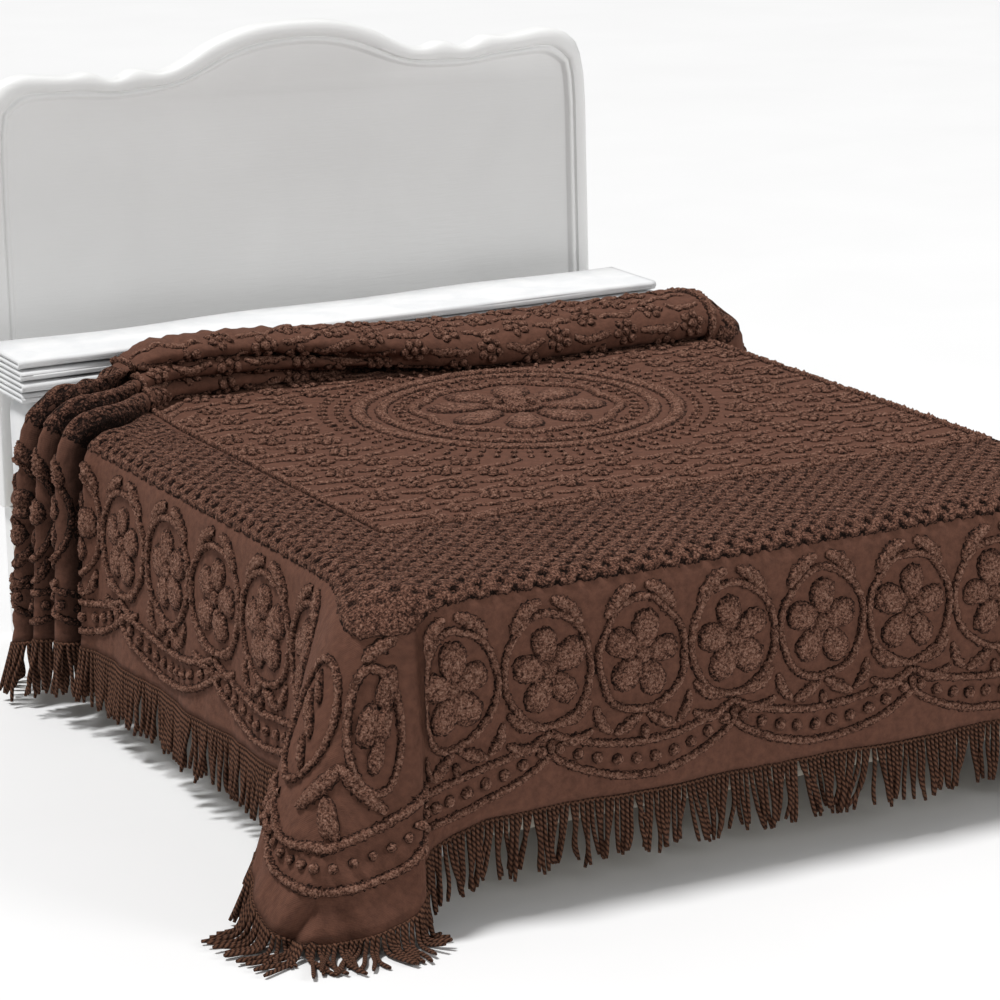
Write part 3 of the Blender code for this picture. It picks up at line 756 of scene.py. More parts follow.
@dataclass
class Drape:
    """Where each place of the flat cloth lies once it is spread on the bed."""

    half_width: float = 0.785       # middle of the bed to the face of the side drop
    top_z: float = 0.61
    edge_radius: float = 0.05
    drop: float = 0.45              # cloth from the start of the edge bend to the hem
    side_flare: float = 0.027
    foot_flare: float = 0.012
    fold_start_y: float = 1.28
    fold_cloth: float = 1.0         # length of cloth that is gathered in the head folds
    wave: float = 0.006
    wave_length: float = 0.37
    rounding: float = 0.07          # of the top's corner
    gather: float = 0.0042          # height of the small gathers on the head folds
    pitch: float = 0.006            # of the grid that the drape is worked out on
    us: Array = field(init=False)
    vs: Array = field(init=False)
    points: Array = field(init=False)
    normals: Array = field(init=False)
    stretch: Array = field(init=False)
    pressed_and_shaded: Array = field(init=False)  # 1 deep in a fold, where the pile is pressed flat and painted shade darkens pile and cloth

    def __post_init__(self) -> None:
        """Work out the whole cloth on a fine grid."""
        self.us = np.linspace(-self.hem_u, self.hem_u, round(2.0 * self.hem_u / self.pitch) + 1)
        self.vs = np.linspace(0.0, self.length, round(self.length / self.pitch) + 1)
        self.pressed_and_shaded = np.zeros((len(self.us), len(self.vs)))
        self.points = self._spread()
        self.normals = self._normals()
        self.points += self.normals * self._unevenness()[..., None]
        self.normals = self._normals()
        across = np.gradient(self.points, self.us[1] - self.us[0], axis=0)
        along = np.gradient(self.points, self.vs[1] - self.vs[0], axis=1)
        e, f, g = ((a * b).sum(axis=2) for a, b in ((across, across), (across, along), (along, along)))
        e, g = np.clip(e, 0.45, 2.2), np.clip(g, 0.45, 2.2)
        limit = 0.7 * np.sqrt(e * g)
        self.stretch = np.stack((e, np.clip(f, -limit, limit), g), axis=2)

    @property
    def bend_x(self) -> float:
        """Where the side bend starts."""
        return self.half_width - self.edge_radius

    @property
    def hem_u(self) -> float:
        """Half the width of the flat cloth."""
        return self.bend_x + self.drop

    @property
    def bend_v(self) -> float:
        """Flat distance from the foot hem to the foot bend."""
        return self.drop

    @property
    def foot_v(self) -> float:
        """Flat distance from the foot hem to Y = 0."""
        return self.drop - self.edge_radius

    @property
    def length(self) -> float:
        """Length of the flat cloth."""
        return self.fold_start_y + self.foot_v + self.fold_cloth

    @property
    def hem_z(self) -> float:
        """Height of the hem where the cloth hangs plainly."""
        return self.top_z - self.edge_radius - (self.drop - self.edge_radius * math.pi / 2)

    def hem_wave(self, along: Array) -> Array:
        """Return how far the hanging hem stands out of its plane."""
        return self.wave * np.sin(2.0 * math.pi * along / self.wave_length)

    def corner_strip(self, flat: Array) -> dict[str, Array]:
        """Return the strips of the left foot corner.

        Args:
            flat: Places on the hem, from the corner of the cloth.

        Returns:
            Start, hem, bend and late of each strip, and its two ends on the flat cloth.
        """
        knots = [row.flat for row in CORNER_HEM]
        read = {
            name: curve_through(knots, [getattr(row, name) for row in CORNER_HEM], flat)
            for name in HemRow._fields
        }
        guide, r = read["guide"], self.rounding
        plus, minus = (
            np.where(np.abs(g) < r, (g + r) ** 2 / (4 * r), np.maximum(g, 0.0)) for g in (guide, -guide)
        )
        height = np.full_like(guide, self.top_z)
        start = np.column_stack((-self.bend_x + plus, self.edge_radius + minus, height))
        flat_hem = np.where(
            (flat < 0.0)[:, None],
            np.column_stack((np.full_like(flat, -self.hem_u), -flat)),
            np.column_stack((-self.hem_u + flat, np.zeros_like(flat))),
        )
        return {
            "start": start,
            "hem": np.column_stack((-read["out"], read["y"], read["z"])),
            "bend": read["bend"],
            "late": np.clip(read["late"], 0.0, 1.0),
            "flat_start": start[:, :2] + (0.0, self.foot_v),
            "flat_hem": flat_hem,
        }

    def _corner(self, flat: Array) -> tuple[Array, Array]:
        """Return the hanging points of the left foot corner.

        Args:
            flat: Places on the flat cloth, (n, 2).

        Returns:
            The points, and which of them hang rather than lie on the top.
        """
        low = np.full(len(flat), CORNER_HEM[0].flat)
        high = np.full(len(flat), CORNER_HEM[-1].flat)
        for _ in range(26):
            middle = (low + high) / 2
            strip = self.corner_strip(middle)
            way = strip["flat_hem"] - strip["flat_start"]
            away = flat - strip["flat_start"]
            headward = way[:, 0] * away[:, 1] - way[:, 1] * away[:, 0] > 0.0
            low, high = np.where(headward, middle, low), np.where(headward, high, middle)
        strip = self.corner_strip((low + high) / 2)
        way = strip["flat_hem"] - strip["flat_start"]
        away = flat - strip["flat_start"]
        fraction = np.sum(way * away, axis=1) / np.sum(way * way, axis=1)
        hanging = fraction > 0.0
        fraction = np.clip(fraction, 0.0, 1.0)
        points = strip_points(strip["start"], strip["hem"], strip["bend"], fraction)
        square = np.column_stack((
            strip["start"][:, 0], np.full(len(flat), -self.foot_flare), strip["hem"][:, 2]
        ))
        plain = strip_points(strip["start"], square, strip["bend"], fraction)
        swing = (strip["late"] * (1.0 - ease(fraction, 0.12, 1.0)))[:, None]
        return points + (plain - points) * swing, hanging

    def _spread(self) -> Array:
        """Return the points of the whole cloth, (us, vs, 3)."""
        u, v = (a.ravel() for a in np.meshgrid(self.us, self.vs, indexing="ij"))
        left = -np.abs(u)
        first, last = CORNER_HEM[0], CORNER_HEM[-1]
        y = np.minimum(v - self.foot_v, self.fold_start_y)
        points = np.column_stack((left, y, np.full_like(u, self.top_z)))

        side = (left < -self.bend_x) & (y >= first.y)
        calm = ease(self.fold_start_y - y, 0.0, 0.15) * ease(y - first.y, 0.0, 0.15)
        out = -self.half_width - self.side_flare - calm * self.hem_wave(y)
        start = np.column_stack((np.full_like(u, -self.bend_x), y, points[:, 2]))
        hem = np.column_stack((out, y, np.full_like(u, self.hem_z)))
        bend = np.full_like(u, self.edge_radius)
        share = (-left - self.bend_x) / self.drop
        points[side] = strip_points(start[side], hem[side], bend[side], share[side])

        foot = (left > -last.out) & (v < self.bend_v)
        calm = ease(left + last.out, 0.0, 0.15)
        start = np.column_stack((left, np.full_like(u, self.edge_radius), points[:, 2]))
        hem = np.column_stack(
            (left, -self.foot_flare - calm * self.hem_wave(left), np.full_like(u, self.hem_z))
        )
        share = (self.bend_v - v) / self.drop
        points[foot] = strip_points(start[foot], hem[foot], bend[foot], share[foot])

        corner = np.flatnonzero((left <= -last.out) & (y < first.y))
        placed, hanging = self._corner(np.column_stack((left, v))[corner])
        points[corner[hanging]] = placed[hanging]

        points[:, 0] *= -np.sign(u)
        points = points.reshape(len(self.us), len(self.vs), 3)
        self._fold_head(points)
        return points

    def _fold_head(self, points: Array) -> None:
        """Lay the head end of the cloth in its folds.

        Args:
            points: Points of the whole cloth, changed in place.
        """
        first = int(np.searchsorted(self.vs, self.fold_start_y + self.foot_v))
        base = points[:, first].copy()
        along = unit(np.gradient(base, axis=0))
        normal = np.column_stack((-along[:, 2], along[:, 0]))
        left = np.where(self.us < 0.0, np.clip((-self.us - self.bend_x) / self.drop, 0, 1), 0.0)
        progress = np.linspace(0.0, len(HEAD_FOLDS) - 1.0, 441)
        knots = list(range(len(HEAD_FOLDS)))
        read = {
            name: curve_through(knots, [getattr(row, name) for row in HEAD_FOLDS], progress)
            for name in FoldRow._fields
        }
        far = ease(base[:, 0], *FAR_BLEND)
        side_y = 1.0 - ease(base[:, 0], *SIDE_Y_BLEND)
        side_up = 1.0 - ease(base[:, 0], *SIDE_UP_BLEND)
        wanted = (self.vs[first:] - self.vs[first]) / (self.vs[-1] - self.vs[first])
        for i in range(len(self.us)):
            y = read["top_y"] + (read["far_y"] - read["top_y"]) * far[i]
            up = read["top_up"] + (read["far_up"] - read["top_up"]) * far[i]
            y += (read["side_y"] - y) * side_y[i] + read["hem_y"] * left[i]
            up += (read["side_up"] - read["hem_in"] * left[i] ** 0.4 - up) * side_up[i]
            x = base[i, 0] + normal[i, 0] * up
            z = base[i, 2] + normal[i, 1] * up - read["hem_low"] * left[i]
            line = np.column_stack((x, y, z))
            reach = reach_along(line)
            reach /= reach[-1]
            points[i, first:] = read_path(wanted, reach, line)
            # How deep in a fold each place lies: it presses the pile and sets the painted fold shade.
            inside = np.clip(read["deep"], 0.0, 1.0) * side_up[i]
            self.pressed_and_shaded[i, first:] = np.interp(wanted, reach, inside)

    def _normals(self) -> Array:
        """Return the outward normals of the whole cloth."""
        across = np.gradient(self.points, axis=0)
        along = np.gradient(self.points, axis=1)
        return unit(np.cross(across, along))

    def _unevenness(self) -> Array:
        """Return how far each place of the cloth stands up out of its main shape."""
        u, v = np.meshgrid(self.us, self.vs, indexing="ij")
        folded = ease(v, self.length - 0.34, self.length - 0.26)
        gathers = (
            np.sin(u * 152.0 + 1.7 * np.sin(v * 21.0 + u * 9.0))
            + 0.6 * np.sin(u * 97.0 - 1.1 * np.sin(v * 33.0))
        )
        soft = np.sin(u * 11.0 + 2.0 * np.sin(v * 5.0)) * np.sin(v * 9.0 + 1.3 * np.sin(u * 6.0))
        on_top = 1.0 - ease(np.abs(u), 0.70, 0.74)
        by_side, by_foot = (np.abs(u) - self.bend_x) / self.drop, (self.bend_v - v) / self.drop
        down = np.clip(np.maximum(by_side, by_foot), 0.0, 1.0)
        hem = np.where(by_foot > by_side, self.hem_u - np.abs(u), -v)
        near = np.exp(-((hem / 0.30) ** 2))
        creases = (
            np.sin(hem * 34.0 + 2.5 * np.sin(hem * 11.0) + 2.0 * down)
            + 0.7 * np.sin(hem * 71.0 + 2.0 * np.sin(hem * 17.0) - 3.0 * down)
        )
        creases *= 0.0016 * ease(down, 0.2, 1.0) * (1.0 + 4.5 * near * ease(down, 0.6, 1.0))
        dimples = np.sin(u * 61.0 + 3.0 * np.sin(v * 19.0)) * np.sin(v * 57.0 + 3.0 * np.sin(u * 23.0))
        creases += 0.0009 * dimples * ease(down, 0.0, 0.2)
        return self.gather * folded * gathers * 0.6 + 0.0010 * soft * on_top * (v > 0.5) + creases

    def at(self, flat: Array) -> tuple[Array, Array]:
        """Return where places of the flat cloth lie.

        Args:
            flat: U and V of each place, (n, 2).

        Returns:
            The points in the frame of the finished object, and their normals.
        """
        i = np.clip((flat[:, 0] + self.hem_u) / (self.us[1] - self.us[0]), 0, len(self.us) - 1.001)
        j = np.clip(flat[:, 1] / (self.vs[1] - self.vs[0]), 0, len(self.vs) - 1.001)
        low_i, low_j = i.astype(int), j.astype(int)
        share_i, share_j = (i - low_i)[:, None], (j - low_j)[:, None]

        def blend(values: Array) -> Array:
            """Read one array between the points of the grid."""
            near = values[low_i, low_j] * (1 - share_i) + values[low_i + 1, low_j] * share_i
            far = values[low_i, low_j + 1] * (1 - share_i) + values[low_i + 1, low_j + 1] * share_i
            return near * (1 - share_j) + far * share_j

        return blend(self.points) - (0.0, FRAME_SHIFT_Y, 0.0), unit(blend(self.normals))

    def nearest(self, flat: Array) -> tuple[Array, Array]:
        """Return the numbers of the grid point nearest to each place of the flat cloth."""
        i = np.rint((flat[:, 0] + self.hem_u) / (self.us[1] - self.us[0])).astype(int)
        j = np.rint(flat[:, 1] / (self.vs[1] - self.vs[0])).astype(int)
        return np.clip(i, 0, len(self.us) - 1), np.clip(j, 0, len(self.vs) - 1)

    def stretch_at(self, flat: Array) -> Array:
        """Return the squared stretch along U, between U and V and along V, in three rows."""
        return np.moveaxis(self.stretch[self.nearest(flat)], 1, 0)

    def pressed_and_shaded_at(self, flat: Array) -> Array:
        """Return how deep in a fold places of the flat cloth lie, from 0 to 1, for the pressed pile and
        the painted fold shade.
        """
        return self.pressed_and_shaded[self.nearest(flat)]

    def even(self, place: Array, offsets: Array) -> Array:
        """Turn offsets measured on the draped cloth into offsets on the flat cloth.

        Args:
            place: Flat place they start from.
            offsets: The offsets, (n, 2).

        Returns:
            Flat offsets, (n, 2).
        """
        e, f, g = (float(a[0]) for a in self.stretch_at(place[None]))
        root = math.sqrt(e * g - f * f)
        scale = root * math.sqrt(e + g + 2.0 * root)
        return offsets @ np.array([[g + root, -f], [-f, e + root]]) / scale

    def square_to(self, places: Array, way: Array) -> Array:
        """Return flat vectors that are square to a way, and 1 m long, on the draped cloth.

        Args:
            places: Flat places, (n, 2).
            way: Flat directions, (n, 2).

        Returns:
            The vectors, (n, 2).
        """
        e, f, g = self.stretch_at(places)
        x, y = -way[:, 1], way[:, 0]
        across = np.column_stack((g * x - f * y, e * y - f * x))
        length = np.sqrt((e * g - f * f) * (across[:, 0] * x + across[:, 1] * y))
        return across / length[:, None]

    def from_corner(self, along: Array, up: Array, side: int = -1) -> Array:
        """Return places of a foot corner, given along the hem and up its strips.

        Args:
            along: Place on the hem, from the corner of the cloth.
            up: Length up the strip from the hem.
            side: -1 for the left corner, 1 for the right one.

        Returns:
            Flat places, (n, 2).
        """
        strip = self.corner_strip(np.asarray(along, dtype=float))
        way = unit(strip["flat_start"] - strip["flat_hem"])
        flat = strip["flat_hem"] + way * np.asarray(up, dtype=float)[:, None]
        return flat * (-side, 1.0)


# ---- Tufting ----


CLOTH = 0.003  # thickness of the ground cloth
SUNK = 0.0006  # how far the rim of the pile lies in the cloth
KNOB = Shape.knob()
PAD = Shape.pad()


def pile_shade(height: Array) -> Array:
    """Return the painted shade of pile at a height from 0, at its root, to 1, at its ends: darker
    towards the root.
    """
    return 0.45 + 0.55 * height


@dataclass
class Tufting:
    """Tufted relief, gathered flat and then laid on the drape as one mesh."""

    name: str
    drape: Drape
    rng: np.random.Generator
    step: float = 0.0036         # half a tuft along a tufted line
    uneven: float = 0.11         # spread of the heights of the tufts along a line
    ragged: float = 0.16         # spread of a line's half width at its edges
    rough: float = 0.17          # spread of the heights of the yarn ends
    pressed_height: float = 0.7  # what the pile loses deep in a fold
    # How much painted shade darkens the pile deep in a fold.
    painted_fold_shade: float = 0.75
    points: list[Array] = field(default_factory=list)
    corners: list[Array] = field(default_factory=list)
    sizes: list[Array] = field(default_factory=list)
    # Painted shade of each shape's points, darker towards the root of the pile.
    pile: list[Array] = field(default_factory=list)
    count: int = 0

    def add(self, shape: Shape, points: Array, pile: Array) -> None:
        """Keep one shape whose points have their flat places and heights.

        Args:
            shape: Faces of the shape.
            points: U, V and height of each point.
            pile: How far up the pile each point is, used as painted shade that is darker towards the
                root.
        """
        self.points.append(points)
        self.corners.append(shape.corners + self.count)
        self.sizes.append(shape.sizes)
        self.pile.append(pile)
        self.count += len(points)

    def line(
        self, path: Array, width: float, height: float, closed: bool = False,
        taper: float = 0.0, rows: int = 4,
    ) -> None:
        """Tuft a line of pile along a path.

        Args:
            path: Flat places along it, (n, 2).
            width: Width of the pile.
            height: Height of the pile.
            closed: Whether it runs back into its start.
            taper: 0 for an even line, 1 for one that narrows to points at both ends.
            rows: Faces across the line.
        """
        if closed:
            path = np.vstack((path, path[:1]))
        reach = reach_along(path)
        steps = max(3, round(reach[-1] / self.step))
        shape = Shape.grid(steps, rows)
        share, side = shape.points[:, 0], shape.points[:, 1]
        level = np.rint(share * steps).astype(int)
        at = np.linspace(0.0, reach[-1], steps + 1)
        centre = read_path(at, reach, path)
        way = np.gradient(centre, axis=0)
        if closed:
            way[0] = way[-1] = centre[1] - centre[-2]
        across = self.drape.square_to(centre, unit(way))
        swell = np.ones(steps + 1)
        if taper > 0.0:
            swell = 1.0 - taper + taper * np.sin(math.pi * (0.03 + 0.94 * at / at[-1])) ** 0.7
        tuft = 1.0 + self.rng.normal(0.0, self.uneven, steps + 1)
        if closed:
            tuft[-1] = tuft[0]
        half = width / 2 * swell
        ragged = 1.0 + self.rng.normal(0.0, self.ragged, len(side)) * (np.abs(side) > 0.9)
        crown = np.clip(1.0 - np.abs(side) ** 2.4, 0.0, 1.0) ** 0.6
        rough = 1.0 + self.rng.normal(0.0, self.rough, len(side))
        if closed:
            first, last = np.flatnonzero(level == 0), np.flatnonzero(level == steps)
            ragged[last], rough[last] = ragged[first], rough[first]
        flat = centre[level] + across[level] * (side * half[level] * ragged)[:, None]
        rise = height * crown * rough * (tuft * (0.3 + 0.7 * swell))[level]
        self.add(shape, np.column_stack((flat, rise - SUNK)), pile_shade(crown))

    def knob(self, place: Array, radius: float, height: float) -> None:
        """Tuft one round knot of pile.

        Args:
            place: Flat place of its middle.
            radius: Its radius.
            height: Its height.
        """
        shape = KNOB
        turn = self.rng.uniform(0.0, 2.0 * math.pi)
        rough = 1.0 + self.rng.normal(0.0, 0.08, len(shape.points))
        x, y = shape.points[:, 0] * rough, shape.points[:, 1] * rough
        flat = np.asarray(place) + self.drape.even(np.asarray(place), radius * turned(x, y, turn))
        points = np.column_stack((flat, shape.points[:, 2] * height * rough))
        self.add(shape, points, pile_shade(np.sqrt(np.clip(shape.points[:, 2], 0.0, 1.0))))

    def pad(self, place: Array, half: Pair, turn: float, height: float, narrow: float = 0.0) -> None:
        """Tuft a filled pad of pile, such as a petal.

        Args:
            place: Flat place of its middle.
            half: Half its length along its own axis, and half its width.
            turn: Direction of its axis, in radians from U.
            height: Height of the pile.
            narrow: How much narrower it is at the start of its axis, from 0 to 1.
        """
        shape = PAD
        x, y = shape.points[:, 0] * half[0], shape.points[:, 1] * half[1]
        y = y * (1.0 - narrow * (0.5 - 0.5 * shape.points[:, 0]))
        inside = shape.points[:, 2] > 0.0
        edge = 1.0 + self.rng.normal(0.0, 0.045, len(x)) * ~inside
        x, y = x * edge, y * edge
        rise = shape.points[:, 2] * height * (1.0 + self.rng.normal(0.0, 0.15, len(x)))
        flat = np.asarray(place) + self.drape.even(np.asarray(place), turned(x, y, turn))
        self.add(shape, np.column_stack((flat, rise - SUNK)), pile_shade(shape.points[:, 2]))

    def lay(self, material: Material) -> Piece:
        """Lay the tufting on the drape.

        Args:
            material: The finish of the pile.

        Returns:
            The piece.
        """
        points = np.vstack(self.points)
        corners = np.concatenate(self.corners)
        placed, normals = self.drape.at(points[:, :2])
        pressed_and_shaded = self.drape.pressed_and_shaded_at(points[:, :2])
        height = points[:, 2] * (1.0 - self.pressed_height * pressed_and_shaded) + CLOTH / 2
        lifted = placed + normals * height[:, None]
        # Deep in the head folds the pile is pressed lower, and painted shade darkens it.
        piece = build_mesh(
            self.name, lifted, corners, np.concatenate(self.sizes), points[corners, :2],
            np.concatenate(self.pile) * (1.0 - self.painted_fold_shade * pressed_and_shaded),
        )
        dress(piece, material)
        log.info("%s: %d faces", self.name, len(piece.data.polygons))
        return piece


def arc(centre: Pair, half: Pair, start: float, end: float, count: int = 48) -> Array:
    """Return points of an elliptic arc.

    Args:
        centre: Its centre.
        half: Its two half axes.
        start: First angle in degrees.
        end: Last angle in degrees.
        count: Number of points.

    Returns:
        The points, (count, 2).
    """
    angles = np.radians(np.linspace(start, end, count))
    return np.column_stack((centre[0] + half[0] * np.cos(angles), centre[1] + half[1] * np.sin(angles)))


@dataclass
class TuftedPart:
    """A part of the tufted pattern."""

    drape: Drape
    rng: np.random.Generator

    def tuft(self) -> list[Tufting]:
        """Return its tufting, still flat."""
        raise NotImplementedError

    def build(self, material: Material) -> list[Piece]:
        """Build its pieces.

        Args:
            material: The finish of the pile.

        Returns:
            The pieces.
        """
        return [tufting.lay(material) for tufting in self.tuft()]


class Edge(Enum):
    """The three edges of the cloth that carry the border."""

    FOOT = "foot"
    LEFT = "left"
    RIGHT = "right"


class Leaf(NamedTuple):
    """A tapered leaf beside the middle line of an oval, and its twin on the other side."""

    from_along: float
    from_up: float
    to_along: float
    to_up: float
    width: float


END_LEAVES = [Leaf(0.020, 0.146, 0.084, 0.184, 0.026), Leaf(0.024, 0.112, 0.088, 0.128, 0.024)]
MIDDLE_LEAVES = [Leaf(0.006, 0.142, 0.062, 0.112, 0.028), Leaf(0.066, 0.116, 0.096, 0.170, 0.024)]


class CornerRow(NamedTuple):
    """Heights of the corner swag over the hem, at one place along it."""

    along: float
    upper: float
    knots: float
    lower: float


CORNER_SWAG = [
    CornerRow(-0.33, 0.150, 0.130, 0.108),
    CornerRow(-0.19, 0.126, 0.108, 0.080),
    CornerRow(0.00, 0.168, 0.131, 0.091),
    CornerRow(0.19, 0.174, 0.130, 0.087),
    CornerRow(0.33, 0.150, 0.130, 0.108),
]


class CornerOval(NamedTuple):
    """One oval of the corner: its middle, its half sizes and its lean."""

    along: float
    up: float
    half_along: float
    half_up: float
    lean: float  # of its long way, along the hem
    tilt: float  # of its short way, up from the hem
    full: float  # how wide its petals open


CORNER_OVALS = [
    CornerOval(-0.168, 0.315, 0.118, 0.074, -0.032, 0.095, 0.55),
    CornerOval(0.068, 0.352, 0.064, 0.118, -0.030, -0.015, 1.0),
]
CORNER_PETALS = [
    # Along and up from the middle of the oval, half length and half width.
    (0.002, 0.062, 0.033, 0.0200),
    (-0.020, 0.014, 0.034, 0.0250),
    (0.016, 0.002, 0.030, 0.0220),
    (0.026, -0.048, 0.036, 0.0185),
]


@dataclass
class Border(TuftedPart):
    """The tufted border: ovals with flowers, leaves over them and swags under them."""

    foot_pitch: float = 0.19        # from one oval to the next
    side_pitch: float = 0.234
    side_first: float = 0.665       # first side oval over the foot hem
    centre_up: float = 0.252        # middle of the ovals over the hem
    half_up: float = 0.1035
    rope: float = 0.017             # width of the tufted rings and lines
    rope_height: float = 0.0090
    petal: Pair = (0.0375, 0.0330)
    petal_height: float = 0.0105
    petal_reach: float = 0.0410     # from the middle of a flower to the middle of a petal
    swag_lines: tuple[Pair, ...] = ((0.136, 0.092), (0.098, 0.030))
    swag_knots: Pair = (0.117, 0.061)  # up at the ends and in the middle
    swag_pile: Pair = (0.0175, 0.0084)  # width and height
    knot: Pair = (0.0122, 0.0116)   # radius and height
    knot_pitch: float = 0.039
    corner_end: float = 0.33        # where the corner swag ends, from the corner
    corner_knot: Pair = (0.0100, 0.0125)
    corner_knot_pitch: float = 0.0405

    def onto(self, edge: Edge, local: Array) -> Array:
        """Turn places along and over a hem into places of the flat cloth.

        Args:
            edge: The edge.
            local: Distance along the edge and distance in from the hem, (n, 2).

        Returns:
            U and V, (n, 2).
        """
        along, up = local[:, 0], local[:, 1]
        if edge is Edge.FOOT:
            return np.column_stack((along, up))
        if edge is Edge.LEFT:
            return np.column_stack((-self.drape.hem_u + up, -along))
        return np.column_stack((self.drape.hem_u - up, along))

    def angle(self, edge: Edge, local: float) -> float:
        """Return the direction on the flat cloth of an angle given over a hem."""
        return local + {Edge.FOOT: 0.0, Edge.LEFT: -math.pi / 2, Edge.RIGHT: math.pi / 2}[edge]

    def oval_places(self, edge: Edge) -> list[float]:
        """Return where the middles of the ovals stand along an edge."""
        if edge is Edge.FOOT:
            return [self.foot_pitch * (k + 0.5) for k in range(-4, 4)]
        places = [self.side_first + self.side_pitch * k for k in range(9)]
        return [-p for p in places] if edge is Edge.LEFT else places

    def swag_places(self, edge: Edge) -> list[float]:
        """Return the ends of the swags along an edge."""
        if edge is Edge.FOOT:
            end = self.drape.hem_u - self.corner_end
            return [-end] + [self.foot_pitch * k for k in (-2.5, -0.5, 1.5, 3.5)] + [end]
        places = [self.side_first + 2 * self.side_pitch * k for k in range(5)]
        places = [self.corner_end] + places
        return [-p for p in places] if edge is Edge.LEFT else places

    def flower(self, tufting: Tufting, edge: Edge, along: float, number: int) -> None:
        """Tuft the five-petalled flower of one oval.

        Args:
            tufting: Where the pile goes.
            edge: The edge.
            along: Place of the oval.
            number: Number of the oval, which turns the flower a little.
        """
        middle = np.array([along, self.centre_up])
        wide = 1.0 if edge is Edge.FOOT else 1.15
        lean = 0.31 + 0.20 * math.sin(2.4 * number)
        for k in range(5):
            turn = lean + 2.0 * math.pi * k / 5
            reach = self.petal_reach * (1.0 + 0.06 * self.rng.normal())
            local = middle + reach * np.array([wide * math.cos(turn), 1.14 * math.sin(turn)])
            place = self.onto(edge, local[None])[0]
            size = 1.0 + 0.06 * self.rng.normal()
            tufting.pad(
                place, (self.petal[0] * size, self.petal[1] * size * wide),
                self.angle(edge, turn), self.petal_height, narrow=0.32,
            )
        place = self.onto(edge, middle[None])[0]
        tufting.pad(place, (0.018, 0.018), 0.0, self.petal_height * 1.05)

    def oval_ring(self, tufting: Tufting, forms: Tufting, edge: Edge, along: float) -> None:
        """Tuft the ring of one oval and the two leaves over it.

        Args:
            tufting: Where the ring goes.
            forms: Where the leaves go.
            edge: The edge.
            along: Place of the oval.
        """
        pitch = self.foot_pitch if edge is Edge.FOOT else self.side_pitch
        half = (pitch / 2 - 0.0065, self.half_up)
        centre = (along, self.centre_up)
        ring = self.wander(arc(centre, half, 0.0, 360.0 - 360.0 / 56, 56))
        tufting.line(self.onto(edge, ring), self.rope, self.rope_height, closed=True)
        over = (half[0] - 0.002, half[1] + 0.024)
        for start, end in ((97.0, 143.0), (83.0, 37.0)):
            leaf = self.onto(edge, arc(centre, over, start, end, 16))
            forms.line(leaf, 0.031, 0.0105, taper=0.75, rows=6)

    def wander(self, path: Array) -> Array:
        """Return a closed path that strays a little, as hand-guided tufting does."""
        turn = np.linspace(0.0, 2.0 * math.pi, len(path) + 1)[:-1]
        stray = sum(
            self.rng.normal(0.0, 0.0011) * np.cos(k * turn + self.rng.uniform(0.0, 6.0))
            for k in (2, 3, 5, 7)
        )
        return path + unit(path - path.mean(axis=0)) * stray[:, None]

    def swag(self, tufting: Tufting, edge: Edge, ends: Pair) -> None:
        """Tuft one swag: two hanging lines with knots between them.

        Args:
            tufting: Where the pile goes.
            edge: The edge.
            ends: Its two ends along the edge.
        """
        span = ends[1] - ends[0]

        def hang(share: Array, line: Pair) -> Array:
            """Return the places of a line at some shares of the span."""
            sag = np.sin(math.pi * share) ** 0.75
            return self.onto(edge, np.column_stack((
                ends[0] + span * share, line[0] + (line[1] - line[0]) * sag
            )))

        for line in self.swag_lines:
            tufting.line(hang(np.linspace(0.0, 1.0, 40), line), *self.swag_pile)
        knots = max(3, round(abs(span) / self.knot_pitch))
        for place in hang((np.arange(knots) + 0.5) / knots, self.swag_knots):
            tufting.knob(place, *self.knot)

    def spray(self, tufting: Tufting, edge: Edge, along: float, over_end: bool) -> None:
        """Tuft the leaves under one oval.

        Args:
            tufting: Where the pile goes.
            edge: The edge.
            along: Place of the oval.
            over_end: Whether two swags meet under this oval.
        """
        for leaf in END_LEAVES if over_end else MIDDLE_LEAVES:
            for way in (-1.0, 1.0):
                start = np.array([way * leaf.from_along + along, leaf.from_up])
                end = np.array([way * leaf.to_along + along, leaf.to_up])
                middle = (start + end) / 2 + np.array([0.006 * way, -0.005])
                knots = np.linspace(0.0, 2.0, 13)
                path = np.column_stack([
                    curve_through([0.0, 1.0, 2.0], [start[k], middle[k], end[k]], knots) for k in (0, 1)
                ])
                tufting.line(self.onto(edge, path), leaf.width, 0.0100, taper=0.8, rows=6)
        bud = self.onto(edge, np.array([[along, 0.108]]))[0]
        tufting.pad(bud, (0.0155, 0.0105), self.angle(edge, math.pi / 2), 0.0105, narrow=0.4)

